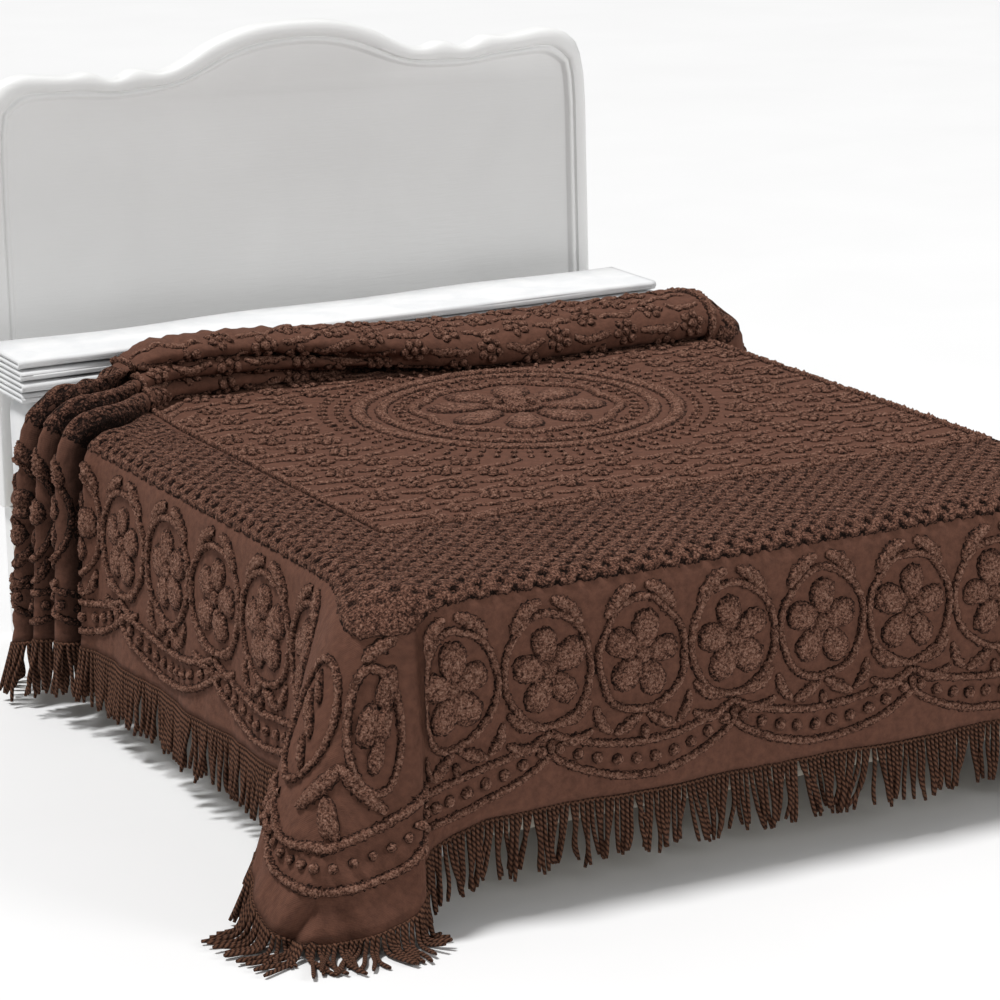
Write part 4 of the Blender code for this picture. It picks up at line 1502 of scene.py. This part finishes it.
    def corner(self, lines: Tufting, forms: Tufting, side: int) -> None:
        """Tuft the ovals, the swag, the arch and the drop at one foot corner.

        Args:
            lines: Where the lines go.
            forms: Where the filled forms go.
            side: -1 for the left corner, 1 for the right one.
        """
        along = np.linspace(-self.corner_end, self.corner_end, 60)
        knots = [row.along for row in CORNER_SWAG]
        upper, middle, lower = (
            curve_through(knots, [getattr(row, name) for row in CORNER_SWAG], along)
            for name in ("upper", "knots", "lower")
        )
        for path, width in ((upper, 0.021), (lower, 0.019)):
            lines.line(self.drape.from_corner(along, path, side), width, 0.0095)
        for at in np.arange(-0.305, 0.32, self.corner_knot_pitch):
            up = np.interp(at, along, middle)
            forms.knob(self.drape.from_corner([at], [up], side)[0], *self.corner_knot)
        self.corner_pad(forms, side, (-0.012, 0.222), (0.0, -0.034), 0.0265, 0.0125)
        for way in (-1.0, 1.0):
            share = np.linspace(0.0, 1.0, 18)
            path = self.drape.from_corner(way * 0.118 * share, 0.318 - 0.122 * share**0.85, side)
            forms.line(path, 0.033, 0.0115, taper=0.6, rows=7)
        turn = np.linspace(0.0, 2.0 * math.pi, 57)[:-1]
        for oval in CORNER_OVALS:
            at = oval.along + oval.half_along * np.cos(turn) + oval.lean * np.sin(turn)
            up = oval.up + oval.half_up * np.sin(turn) + oval.tilt * np.cos(turn)
            ring = self.drape.from_corner(at, up, side)
            lines.line(ring, 0.017, 0.0095, closed=True)
            for shift, rise, length, half in CORNER_PETALS:
                place = (oval.along + shift - oval.lean * rise / 0.1, oval.up + rise)
                self.corner_pad(forms, side, place, (0.0, -length), half * oval.full, 0.0115)
        crescent = self.drape.from_corner(
            np.linspace(0.020, 0.105, 14), 0.487 + 0.008 * np.sin(np.linspace(0.4, 2.7, 14)), side
        )
        forms.line(crescent, 0.024, 0.0100, taper=0.75, rows=5)

    def corner_pad(
        self, forms: Tufting, side: int, place: Pair, way: Pair, half_width: float, height: float
    ) -> None:
        """Tuft one pad of the corner.

        Args:
            forms: Where it goes.
            side: -1 for the left corner, 1 for the right one.
            place: Its middle, along the hem and up from it.
            way: From its middle to its wide end, along and up.
            half_width: Half its width.
            height: Height of the pile.
        """
        ends = self.drape.from_corner([place[0], place[0] + way[0]], [place[1], place[1] + way[1]], side)
        axis = ends[1] - ends[0]
        forms.pad(
            ends[0], (math.hypot(*way), half_width), math.atan2(axis[1], axis[0]), height, narrow=0.4
        )

    def tuft(self) -> list[Tufting]:
        """Tuft the border's lines and its filled forms."""
        lines = Tufting("tufted_border_lines", self.drape, self.rng)
        forms = Tufting("tufted_border_forms", self.drape, self.rng)
        for edge in Edge:
            ends = self.swag_places(edge)
            for number, along in enumerate(self.oval_places(edge)):
                self.oval_ring(lines, forms, edge, along)
                self.flower(forms, edge, along, number)
                over_end = any(abs(along - end) < 0.01 for end in ends)
                self.spray(forms, edge, along, over_end)
            for pair in zip(ends, ends[1:]):
                self.swag(lines, edge, pair)
        for side in (-1, 1):
            self.corner(lines, forms, side)
        return [lines, forms]


@dataclass
class Lattice(TuftedPart):
    """The close tufted band round the field, with a small gap at each crossing."""

    outer_up: float = 0.400         # outer edge over the hem
    side_inner: float = 0.585       # inner edge from the middle, on the left
    foot_inner: float = 0.815       # inner edge over the foot hem
    right_inner: float = 0.748      # inner edge from the middle, on the right
    gap_pitch: float = 0.0300
    gap_radius: float = 0.0066
    height: float = 0.0082
    cell: float = 0.0042
    folds_from: float = 1.70        # over the foot hem, where folds press the pile down
    tip_reach: float = 0.11         # how far round a foot corner the band is drawn out
    tip_pull: Pair = (0.034, -0.006)
    line_off: float = 0.017         # from the band to the line inside it
    line_pile: Pair = (0.015, 0.0100)  # its width and height

    def block(self, tufting: Tufting, low: Pair, high: Pair, open_sides: str) -> None:
        """Tuft one oblong of the band.

        Args:
            tufting: Where the pile goes.
            low: Its lowest U and V.
            high: Its highest U and V.
            open_sides: Those of "ulrd" (up, left, right, down) where the pile ends.
        """
        size = np.array(high) - np.array(low)
        columns, rows = (max(2, round(s / self.cell)) for s in size)
        shape = Shape.grid(columns, rows)
        share = np.column_stack((shape.points[:, 0], shape.points[:, 1] * 0.5 + 0.5))
        flat = np.array(low) + share * size
        across = (flat[:, 0] + flat[:, 1]) / math.sqrt(2.0) / self.gap_pitch
        along = (flat[:, 0] - flat[:, 1]) / math.sqrt(2.0) / self.gap_pitch
        away = np.hypot(across - np.rint(across), along - np.rint(along)) * self.gap_pitch
        gap = np.exp(-((away / self.gap_radius) ** 3))
        edges = {"l": share[:, 0], "r": 1.0 - share[:, 0], "d": share[:, 1], "u": 1.0 - share[:, 1]}
        for way in (-1.0, 1.0):
            tip = np.array([way * (self.drape.hem_u - self.outer_up), self.outer_up])
            pull = np.exp(-(((flat - tip) ** 2).sum(axis=1)) / self.tip_reach**2)
            flat += pull[:, None] * np.array([way * self.tip_pull[0], self.tip_pull[1]])
            gap *= 1.0 - pull
        border = np.min([edges[name] for name in open_sides], axis=0) < 1e-6
        rough = self.rng.normal(0.0, 0.07, len(flat))
        top = np.clip(1.0 + rough - 1.45 * gap, 0.0, 1.3)
        # Painted shade: the pile is darkened in each gap and at the band's open edges; the rough term
        # adds random tone.
        shade = 0.84 * np.clip(1.0 + rough - 1.15 * gap, 0.0, 1.0)
        top[border], shade[border] = 0.0, 0.5
        flat += self.rng.normal(0.0, 0.0009, flat.shape)
        flat += border[:, None] * self.rng.normal(0.0, 0.0013, flat.shape)
        folded = ease(flat[:, 1], self.folds_from, self.folds_from + 0.12)
        rise = self.height * (1.0 - 0.55 * folded) * top - SUNK
        tufting.add(shape, np.column_stack((flat, rise)), shade)

    def tuft(self) -> list[Tufting]:
        """Tuft the band and the line inside it."""
        tufting = Tufting("tufted_lattice_band", self.drape, self.rng)
        outer = self.drape.hem_u - self.outer_up
        end = self.drape.length - 0.006
        left, right = -self.side_inner - self.line_off, self.right_inner + self.line_off
        foot = self.foot_inner - self.line_off
        self.block(tufting, (-outer, foot), (left, end), "lur")
        self.block(tufting, (-outer, self.outer_up), (left + self.cell, foot + self.cell), "ld")
        self.block(tufting, (left, self.outer_up), (right, foot), "du")
        self.block(tufting, (right - self.cell, self.outer_up), (outer, end), "urd")
        inner = np.array([
            (-self.side_inner, end), (-self.side_inner, self.foot_inner),
            (self.right_inner, self.foot_inner), (self.right_inner, end),
        ])
        tufting.line(inner, *self.line_pile)
        return [tufting]


ROUND_MIDDLE = (0.090, 1.590)
ROUND_HALF = (0.333, 0.370)


@dataclass
class Field(TuftedPart):
    """The middle of the spread: wavy lines with small flowers of knots between them."""

    left: float = -0.574
    right: float = 0.737
    foot: float = 0.842
    row: float = 0.052
    repeat: float = 0.168
    keep_clear: float = 1.27        # of the round's half axes
    line_pile: Pair = (0.0215, 0.0056)  # width and height
    line_gap: float = 0.036         # from the middle of a flower to the line
    petal_reach: float = 0.0215

    def clear_of_round(self, flat: Array, share: float) -> Array:
        """Return which places lie outside the round by a share of its half axes."""
        away = (flat - np.array(ROUND_MIDDLE)) / np.array(ROUND_HALF)
        return np.hypot(away[:, 0], away[:, 1]) > share

    def tuft(self) -> list[Tufting]:
        """Tuft the lines and flowers of the field."""
        lines = Tufting("tufted_field_lines", self.drape, self.rng, step=0.0048)
        flowers = Tufting("tufted_field_flowers", self.drape, self.rng)
        rows = int((self.drape.length - self.foot - 0.03) / self.row)
        for k in range(rows):
            v = self.foot + 0.012 + k * self.row
            u = np.linspace(self.left, self.right, 260)
            phase = math.pi * (k % 2) + 0.4 * math.sin(1.9 * k)
            path = np.column_stack((
                u, v + 0.0085 * np.sin(2 * math.pi * u / self.repeat + phase)
                + 0.003 * np.sin(2 * math.pi * u / 0.071 + 2.0 * k),
            ))
            keep = self.clear_of_round(path, self.keep_clear)
            first = math.ceil((self.left + 0.03) / self.repeat - 1) - 1
            for m in range(first, first + 11):
                at = (m + 0.25 - phase / (2 * math.pi)) * self.repeat
                place = np.array([at, v + 0.002 * self.rng.normal()])
                inside = self.left + 0.03 < at < self.right - 0.02
                if inside and self.clear_of_round(place[None], self.keep_clear + 0.05)[0]:
                    self.floret(flowers, place)
                    keep &= np.abs(u - at) > self.line_gap
            self.stretches(lines, path, keep)
        return [lines, flowers]

    def stretches(self, tufting: Tufting, path: Array, keep: Array) -> None:
        """Tuft the stretches of a path that are kept.

        Args:
            tufting: Where the pile goes.
            path: The whole path.
            keep: Which of its points are kept.
        """
        edges = np.flatnonzero(np.diff(np.concatenate(([0], keep.astype(int), [0]))))
        for start, end in zip(edges[::2], edges[1::2]):
            if end - start > 6:
                tufting.line(path[start:end], *self.line_pile, taper=0.4, rows=5)

    def floret(self, tufting: Tufting, place: Array) -> None:
        """Tuft one small flower of knots.

        Args:
            tufting: Where the pile goes.
            place: Its middle.
        """
        tufting.knob(place, 0.0105, 0.0072)
        lean = self.rng.uniform(0.0, 1.0)
        for k in range(6):
            turn = lean + math.pi * k / 3
            reach = self.petal_reach * np.array([math.cos(turn), math.sin(turn)])
            tufting.knob(place + reach, 0.0110, 0.0070)


class StrokeRow(NamedTuple):
    """One ring of short strokes, from and to a share of the round's half axes."""

    low: float
    high: float
    count: int
    width: float


ROUND_STROKES = [
    StrokeRow(1.075, 1.135, 76, 0.015),
    StrokeRow(1.175, 1.235, 76, 0.015),
    StrokeRow(0.690, 0.775, 50, 0.017),
]


@dataclass
class Medallion(TuftedPart):
    """The round in the middle of the field: a big flower inside rings of pile."""

    middle: Pair = ROUND_MIDDLE
    half: Pair = ROUND_HALF
    petals: int = 8
    rings: tuple[Pair, ...] = ((0.985, 0.036), (0.845, 0.028))  # share, width

    def ring(self, share: float, start: float = 0.0, end: float = 360.0, count: int = 120) -> Array:
        """Return a ring, or part of one, at a share of the half axes."""
        half = (self.half[0] * share, self.half[1] * share)
        last = end - 360.0 / count if end - start >= 360.0 else end
        return arc(self.middle, half, start, last, count)

    def strokes(self, tufting: Tufting, row: StrokeRow) -> None:
        """Tuft a ring of short strokes that point at the middle.

        Args:
            tufting: Where the pile goes.
            row: The ring.
        """
        for k in range(row.count):
            turn = 360.0 * (k + 0.5) / row.count
            ends = np.vstack([self.ring(share, turn, turn, 1) for share in (row.low, row.high)])
            tufting.line(ends, row.width, 0.0070, taper=0.5, rows=3)

    def tuft(self) -> list[Tufting]:
        """Tuft the round."""
        tufting = Tufting("tufted_medallion", self.drape, self.rng)
        for share, width in self.rings:
            tufting.line(self.ring(share), width, 0.0070, closed=True, rows=7)
        for row in ROUND_STROKES:
            self.strokes(tufting, row)
        angles = np.linspace(0.0, 2.0 * math.pi, 241)[:-1]
        share = 0.590 + 0.050 * np.abs(np.sin(angles * self.petals / 2))
        scallop = np.column_stack((
            self.middle[0] + self.half[0] * share * np.cos(angles),
            self.middle[1] + self.half[1] * share * np.sin(angles),
        ))
        tufting.line(scallop, 0.026, 0.0072, closed=True, rows=6)
        for k in range(self.petals):
            turn = 2.0 * math.pi * (k + 0.5) / self.petals
            way = np.array([math.cos(turn), math.sin(turn)])
            place = np.array(self.middle) + 0.355 * np.array(self.half) * way
            tufting.pad(place, (0.070, 0.054), turn, 0.0085, narrow=0.50)
        tufting.line(self.ring(0.140), 0.015, 0.0105, closed=True)
        tufting.pad(np.array(self.middle), (0.030, 0.030), 0.0, 0.0120)
        return [tufting]


# ---- The spread, its fringe and the bed ----


@dataclass
class Spread:
    """The ground cloth of the bedspread."""

    drape: Drape
    columns: int = 176
    rows: int = 252
    open_rows: int = 122  # of them, up to the head folds

    def build(self, material: Material) -> Piece:
        """Build the cloth.

        Args:
            material: Its finish.

        Returns:
            The piece.
        """
        shape = Shape.grid(self.columns, self.rows)
        share = shape.points[:, 1] * 0.5 + 0.5
        ends = (0.0, self.open_rows / self.rows, 1.0)
        folds = self.drape.length - self.drape.fold_cloth
        flat = np.column_stack((
            (shape.points[:, 0] * 2.0 - 1.0) * self.drape.hem_u,
            np.interp(share, ends, (0.0, folds, self.drape.length)),
        ))
        points, _ = self.drape.at(flat)
        # Painted shade: the ground cloth is darkened deep in the head folds.
        unshaded_by_folds = 1.0 - self.drape.pressed_and_shaded_at(flat)
        cloth = build_mesh(
            "bedspread_ground", points, shape.corners, shape.sizes, flat[shape.corners], unshaded_by_folds
        )
        thickness = cloth.modifiers.new("Thickness", "SOLIDIFY")
        thickness.thickness = CLOTH
        thickness.offset = 0.0
        dress(cloth, material)
        return cloth


@dataclass
class Fringe:
    """Twisted cords knotted along the foot and both sides."""

    drape: Drape
    rng: np.random.Generator
    length: float = 0.112
    spacing: float = 0.0098
    radius: float = 0.0044
    rest_z: float = 0.0062   # middle of the cords that lie on the floor
    levels: int = 11
    heading: float = 0.0060  # radius of the knotted band

    def hem(self) -> dict[str, Array]:
        """Return the hem, from the left head end round the foot to the right one.

        Returns:
            Points, the way the cloth runs off them, the outward way, the way along the
            hem and the reach along it.
        """
        u, length = self.drape.hem_u, self.drape.length
        side = np.linspace(length - 0.001, 0.0, 900)
        foot = np.linspace(-u, u, 800)
        flat = np.vstack((
            np.column_stack((np.full_like(side, -u), side)),
            np.column_stack((foot, np.zeros_like(foot)))[1:-1],
            np.column_stack((np.full_like(side, u), side[::-1])),
        ))
        left = np.abs(flat[:, 0])
        inward = np.where(
            (flat[:, 1] > 0.0)[:, None], np.column_stack((-np.sign(flat[:, 0]), 0 * left)), (0.0, 1.0)
        )
        on_hem = np.where(flat[:, 1] > 0.0, -flat[:, 1], u - left)
        corner = (on_hem > CORNER_HEM[0].flat) & (on_hem < CORNER_HEM[-1].flat)
        strip = self.drape.corner_strip(on_hem[corner])
        way = unit(strip["flat_start"] - strip["flat_hem"])
        inward[corner] = way * np.column_stack((-np.sign(flat[corner, 0]), np.ones(len(way))))
        points, _ = self.drape.at(flat)
        before, _ = self.drape.at(flat + inward * 0.016)
        along = unit(np.gradient(points, axis=0))
        outward = unit(np.column_stack((along[:, 1], -along[:, 0], 0 * along[:, 0])))
        return {
            "points": points, "off": unit(points - before), "outward": outward, "along": along,
            "reach": reach_along(points),
        }

    def cord_paths(self, hem: dict[str, Array]) -> Array:
        """Return the path of every cord, (cords, levels, 3).

        Args:
            hem: The hem as hem() gives it.

        Returns:
            The paths.
        """
        count = int(hem["reach"][-1] / self.spacing)
        at = (np.arange(count) + 0.5) * self.spacing
        at += self.rng.normal(0.0, 0.0006, count)
        root, off, outward, along = (
            read_path(at, hem["reach"], hem[name]) for name in ("points", "off", "outward", "along")
        )
        span = self.length * (1.0 + self.rng.normal(0.0, 0.055, count))
        share = np.linspace(0.0, 1.0, self.levels)
        run = 0.0008 + share[None, :] * span[:, None]
        down = np.minimum(off[:, 2], -0.02)
        hanging = np.maximum((root[:, 2] - self.rest_z) / -down, 0.0)
        hang = np.minimum(run, hanging[:, None])
        lie = run - hang
        paths = root[:, None] + off[:, None] * hang[..., None] + outward[:, None] * lie[..., None]
        clump = np.cumsum(self.rng.random(count) < 0.26)
        middle = np.bincount(clump, weights=at) / np.maximum(np.bincount(clump), 1)
        drift = (middle[clump] - at) * self.rng.uniform(0.25, 0.70, count)
        drift += self.rng.normal(0.0, 0.006, clump[-1] + 1)[clump]
        drift += self.rng.normal(0.0, 0.0042, count)
        curl = self.rng.normal(0.0, 0.0046, count)
        phase = self.rng.uniform(0.0, 6.0, count)[:, None]
        wave = np.sin(share * 6.5 + phase) - np.sin(phase)
        sway = drift[:, None] * share**1.5 + curl[:, None] * wave * share
        paths += along[:, None] * sway[..., None]
        swing = self.rng.normal(0.0, 0.0062, count)[:, None] * share**1.4
        paths += outward[:, None] * (swing + 0.004 * share)[..., None]
        for _ in range(2):
            paths[:, 1:-1] = (paths[:, :-2] + 2.0 * paths[:, 1:-1] + paths[:, 2:]) / 4.0
        stack = np.abs(self.rng.normal(0.0, 0.0028, count))[:, None]
        paths[..., 2] = np.maximum(paths[..., 2], self.radius + 0.0004 + stack * share)
        return paths

    def build(self, material: Material) -> list[Piece]:
        """Build the cords of each edge and the knotted band over them.

        Args:
            material: The finish of the cords.

        Returns:
            The pieces.
        """
        hem = self.hem()
        paths = self.cord_paths(hem)
        radii = self.radius * np.concatenate(([1.05], np.ones(self.levels - 2), [0.72]))
        lengths = np.linspace(0.0, self.length, self.levels)
        thirds = np.array_split(np.arange(len(paths)), 3)
        pieces = []
        for name, chosen in zip(("left", "foot", "right"), thirds):
            mesh = sweep(paths[chosen], radii, 5, lengths)
            pieces.append(build_mesh(f"fringe_cords_{name}", *mesh))
        even = np.linspace(0.0, hem["reach"][-1], 1500)
        band = read_path(even, hem["reach"], hem["points"])
        band += read_path(even, hem["reach"], hem["off"]) * 0.0035
        band[:, 2] = np.maximum(band[:, 2], self.heading * 0.6)
        mesh = sweep(band[None], np.full(len(band), self.heading * 0.55), 6, even)
        pieces.append(build_mesh("fringe_heading", *mesh))
        for piece in pieces:
            dress(piece, material)
        log.info("fringe: %d cords", len(paths))
        return pieces


class OutlineRow(NamedTuple):
    """One place on the top outline of the headboard, from its middle outwards."""

    x: float
    z: float


HEADBOARD_OUTLINE = [OutlineRow(*row) for row in (
    (0.000, 1.325), (0.100, 1.318), (0.200, 1.288), (0.270, 1.252), (0.322, 1.236), (0.368, 1.246),
    (0.395, 1.244), (0.425, 1.228), (0.455, 1.236), (0.482, 1.248), (0.540, 1.246), (0.600, 1.252),
    (0.640, 1.256), (0.682, 1.247), (0.712, 1.228), (0.732, 1.192), (0.741, 1.142), (0.744, 1.080),
)]


class RimStep(NamedTuple):
    """One step of the moulding, from the outer edge in."""

    width: float
    rise: float  # towards the foot of the bed


RIM_STEPS = [RimStep(*row) for row in (
    (0.0015, 0.0040), (0.0035, 0.0045), (0.0060, 0.0035), (0.0110, 0.0010), (0.0090, -0.0015),
    (0.0035, -0.0060), (0.0020, 0.0000), (0.0025, 0.0035), (0.0045, 0.0010), (0.0040, -0.0025),
    (0.0035, -0.0080), (0.0040, -0.0020),
)]


@dataclass
class Headboard:
    """Scalloped headboard with a moulded rim and a sunk panel."""

    middle_x: float = 0.03
    front_y: float = 2.12
    thick: float = 0.05
    low_z: float = 0.30
    skirt: float = 0.013  # how far the outer edge stands back from the rim's crown
    step: float = 0.012

    def outline(self) -> list[Pair]:
        """Return the outline as X and Z, round from the middle of the top."""
        xs = [row.x for row in HEADBOARD_OUTLINE]
        heights = [row.z for row in HEADBOARD_OUTLINE]
        fine = np.concatenate([
            np.linspace(low, high, max(1, round((high - low) / self.step)) + 1)[:-1]
            for low, high in zip(xs, xs[1:])
        ] + [xs[-1:]])
        tops = curve_through(xs, heights, fine)
        right = list(zip(fine, tops)) + [(xs[-1] + 0.002, self.low_z)]
        return right + [(-x, z) for x, z in reversed(right[1:])]

    def relax(self, panel: bmesh.types.BMFace) -> None:
        """Even out the panel's outline, so that its tight curves stay open.

        Args:
            panel: The panel inside the last step of the moulding.
        """
        ring = list(panel.verts)
        for _ in range(3):
            places = [v.co.copy() for v in ring]
            for i, vert in enumerate(ring):
                before, after = places[i - 1], places[(i + 1) % len(ring)]
                if max((before - places[i]).length, (after - places[i]).length) < 0.03:
                    vert.co = (before + after + places[i] * 2.0) / 4.0

    def build(self, material: Material) -> Piece:
        """Build the headboard.

        Args:
            material: Its finish.

        Returns:
            The piece.
        """
        bm = bmesh.new()
        front = [
            bm.verts.new((x + self.middle_x, self.front_y + self.skirt - FRAME_SHIFT_Y, z))
            for x, z in self.outline()
        ]
        face = bm.faces.new(front)
        made = bmesh.ops.extrude_face_region(bm, geom=[face])["geom"]
        moved = [item for item in made if isinstance(item, bmesh.types.BMVert)]
        bmesh.ops.translate(bm, vec=(0.0, self.thick - self.skirt, 0.0), verts=moved)
        bmesh.ops.recalc_face_normals(bm, faces=bm.faces[:])
        panel = [f for f in bm.faces if f.normal.y < -0.9]
        for rim in RIM_STEPS:
            bmesh.ops.inset_region(
                bm, faces=panel, thickness=rim.width, depth=rim.rise, use_even_offset=True
            )
            self.relax(panel[0])
        piece = object_from("headboard_moulded", bm, sharp=50.0)
        dress(piece, material)
        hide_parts("headboard")
        return piece


@dataclass
class Mattress:
    """Sprung mattress under the spread."""

    size: tuple[float, float, float] = (1.524, 2.03, 0.27)
    foot_y: float = 0.012
    top_z: float = 0.6082
    corner: float = 0.14
    edge: float = 0.045

    def build(self, material: Material) -> Piece:
        """Build the mattress.

        Args:
            material: The finish of its cover.

        Returns:
            The piece.
        """
        bm = bmesh.new()
        bmesh.ops.create_cube(bm, size=1.0)
        bmesh.ops.scale(bm, vec=self.size, verts=bm.verts[:])
        upright = [e for e in bm.edges if abs(e.verts[0].co.z - e.verts[1].co.z) > 0.1]
        bmesh.ops.bevel(
            bm, geom=upright, offset=self.corner, segments=10, profile=0.5, affect="EDGES", material=-1
        )
        level = [e for e in bm.edges if abs(e.verts[0].co.z - e.verts[1].co.z) < 1e-6]
        bmesh.ops.bevel(
            bm, geom=level, offset=self.edge, segments=6, profile=0.5, affect="EDGES", material=-1
        )
        middle = (0.0, self.foot_y + self.size[1] / 2 - FRAME_SHIFT_Y, self.top_z - self.size[2] / 2)
        bmesh.ops.translate(bm, vec=middle, verts=bm.verts[:])
        bmesh.ops.recalc_face_normals(bm, faces=bm.faces[:])
        pad = object_from("mattress_cover", bm, sharp=35.0)
        dress(pad, material)
        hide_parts("mattress")
        return pad


class SheetTurn(NamedTuple):
    """Where one turn of the folded sheet ends, at the foot and the head side."""

    foot_y: float
    head_y: float


SHEET_TURNS = [
    SheetTurn(1.806, 2.032),
    SheetTurn(1.800, 2.026),
    SheetTurn(1.809, 2.030),
    SheetTurn(1.815, 2.024),
]


@dataclass
class FoldedSheet:
    """White sheet that lies folded back and forth on the mattress under the head end."""

    width: float = 1.552
    cloth: float = 0.0075
    pitch: float = 0.012
    low_z: float = 0.6085 + 0.003
    columns: int = 130

    def section(self) -> Array:
        """Return the back-and-forth section as Y and Z, from the lowest layer up."""
        radius = self.pitch / 2
        line = [(SHEET_TURNS[0].head_y, self.low_z)]
        for i, turn in enumerate(SHEET_TURNS):
            level = self.low_z + 2 * i * self.pitch
            ends = [(turn.foot_y, level, -1)]
            if i < len(SHEET_TURNS) - 1:
                ends.append((turn.head_y, level + self.pitch, 1))
            for y, z, way in ends:
                for angle in np.radians(np.linspace(-90.0, 90.0, 9)):
                    line.append((
                        y + way * radius * (math.cos(angle) - 1.0), z + radius * (1.0 + math.sin(angle))
                    ))
        line.append((SHEET_TURNS[-1].head_y, line[-1][1]))
        return np.array(line)

    def build(self, material: Material) -> Piece:
        """Build the sheet.

        Args:
            material: Its finish.

        Returns:
            The piece.
        """
        line = self.section()
        reach = reach_along(line)
        bends = np.interp(np.arange(len(line) * 2 - 1) / 2, np.arange(len(line)), reach)
        shape = Shape.grid(len(bends) - 1, self.columns)
        at = bends[np.rint(shape.points[:, 0] * (len(bends) - 1)).astype(int)]
        x = shape.points[:, 1] * self.width / 2
        y, z = read_path(at, reach, line).T
        layer = (z - self.low_z) / self.pitch
        y = y + 0.0030 * np.sin(x * 9.0 + 1.3 * np.rint(layer)) + 0.0034 * np.sin(x * 5.3 + 0.9)
        lift = np.clip((y - 1.80) / 0.2, 0.0, 1.0)
        z = z + 0.0016 * np.sin(x * 11.0 + 8.0 * y) * lift
        points = np.column_stack((x, y - FRAME_SHIFT_Y, z))
        flat = np.column_stack((x, at))
        sheet = build_mesh("folded_white_sheet", points, shape.corners, shape.sizes, flat[shape.corners])
        thickness = sheet.modifiers.new("Thickness", "SOLIDIFY")
        thickness.thickness = self.cloth
        thickness.offset = 0.0
        dress(sheet, material)
        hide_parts("folded_sheet")
        return sheet


class Finishes(NamedTuple):
    """The materials, made once."""

    pile: Material
    ground: Material
    cord: Material
    cotton: Material
    ticking: Material
    paint: Material
    floor: Material


def dress_frame(finishes: Finishes) -> None:
    """Give the bed parts that stay as they are their real finishes.

    Args:
        finishes: The materials.
    """
    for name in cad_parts:
        node = bpy.data.objects[name]
        if name == "box_spring":
            finish = finishes.ticking
        elif name.startswith(("rail_", "leg_", "headboard_post_")):
            finish = finishes.paint
        else:
            continue
        for slot in node.material_slots:
            slot.material = finish


@dataclass
class Studio:
    """Floor, lights and camera."""

    lens: float = 140.1
    eye: tuple[float, float, float] = (-3.534, -6.865, 2.462)
    yaw: float = 26.94    # from +Y towards +X
    pitch: float = 14.51  # down
    roll: float = -1.41
    sky: float = 0.34     # strength of the even light from all round

    def build_floor(self, material: Material) -> Piece:
        """Build the floor.

        Args:
            material: Its finish.

        Returns:
            The floor.
        """
        bm = bmesh.new()
        bmesh.ops.create_grid(bm, x_segments=4, y_segments=4, size=36.0)
        floor = object_from("studio_floor", bm)
        floor.data.materials.append(material)
        return floor

    def build_light(
        self, kind: str, place: tuple[float, float, float], width: float, power: float
    ) -> None:
        """Add one light that shines towards the middle of the bed.

        Args:
            kind: "SUN", or "AREA" for a square lamp.
            place: Where it stands, of which a sun keeps only the direction.
            width: Side of the lamp, or width of the sun in degrees.
            power: In watts, or the strength of the sun.
        """
        light = bpy.data.lights.new(f"{kind.lower()}_light", kind)
        light.energy = power
        if kind == "SUN":
            light.angle = math.radians(width)
        else:
            light.size = width
        lamp = bpy.data.objects.new(light.name, light)
        lamp.location = place
        lamp.rotation_euler = Vector(place).to_track_quat("Z", "Y").to_euler()
        bpy.context.scene.collection.objects.link(lamp)

    def build_camera(self) -> None:
        """Set up the camera."""
        data = bpy.data.cameras.new("camera")
        data.lens = self.lens
        data.sensor_width = 36.0
        data.clip_end = 60.0
        camera = bpy.data.objects.new("camera", data)
        turn = (
            Matrix.Rotation(math.radians(-self.yaw), 4, "Z")
            @ Matrix.Rotation(math.radians(90.0 - self.pitch), 4, "X")
            @ Matrix.Rotation(math.radians(self.roll), 4, "Z")
        )
        camera.matrix_world = Matrix.Translation(self.eye) @ turn
        bpy.context.scene.collection.objects.link(camera)
        bpy.context.scene.camera = camera

    def build(self, material: Material) -> None:
        """Set up the floor, the lights and the camera.

        Args:
            material: The floor's finish.
        """
        self.build_floor(material)
        self.build_light("SUN", place=(-3.8, 1.2, 10.0), width=12.0, power=3.3)
        self.build_light("AREA", place=(6.4, -10.4, 5.0), width=4.0, power=560.0)
        world = bpy.data.worlds.new("studio")
        world.use_nodes = True
        background = world.node_tree.nodes["Background"]
        background.inputs["Color"].default_value = linear("#FFFFFF")
        background.inputs["Strength"].default_value = self.sky
        bpy.context.scene.world = world
        bpy.context.scene.view_settings.view_transform = "Standard"
        self.build_camera()


def main() -> None:
    """Build and dress every piece, and report each one."""
    logging.basicConfig(level=logging.INFO, format="%(name)s: %(message)s")
    rng = np.random.default_rng(SEED)
    finishes = Finishes(
        ChenillePile().make(), GroundCloth().make(), TwistedCotton().make(),
        SHEETING.make(), TICKING.make(), PAINT.make(), FLOOR.make(),
    )
    Studio().build(finishes.floor)
    drape = Drape()
    log.info("drape: %.3f x %.3f m of cloth", 2 * drape.hem_u, drape.length)
    cloth = Spread(drape).build(finishes.ground)
    for part in (Border(drape, rng), Lattice(drape, rng), Field(drape, rng), Medallion(drape, rng)):
        made = part.build(finishes.pile)
        log.info("%s: %s", type(part).__name__, ", ".join(piece.name for piece in made))
    cords = Fringe(drape, rng).build(finishes.cord)
    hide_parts("bedspread")
    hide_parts("fringe")
    Headboard().build(finishes.paint)
    Mattress().build(finishes.cotton)
    FoldedSheet().build(finishes.cotton)
    dress_frame(finishes)
    log.info("bed: headboard, mattress, folded sheet and frame dressed")


if __name__ == "__main__":
    main()
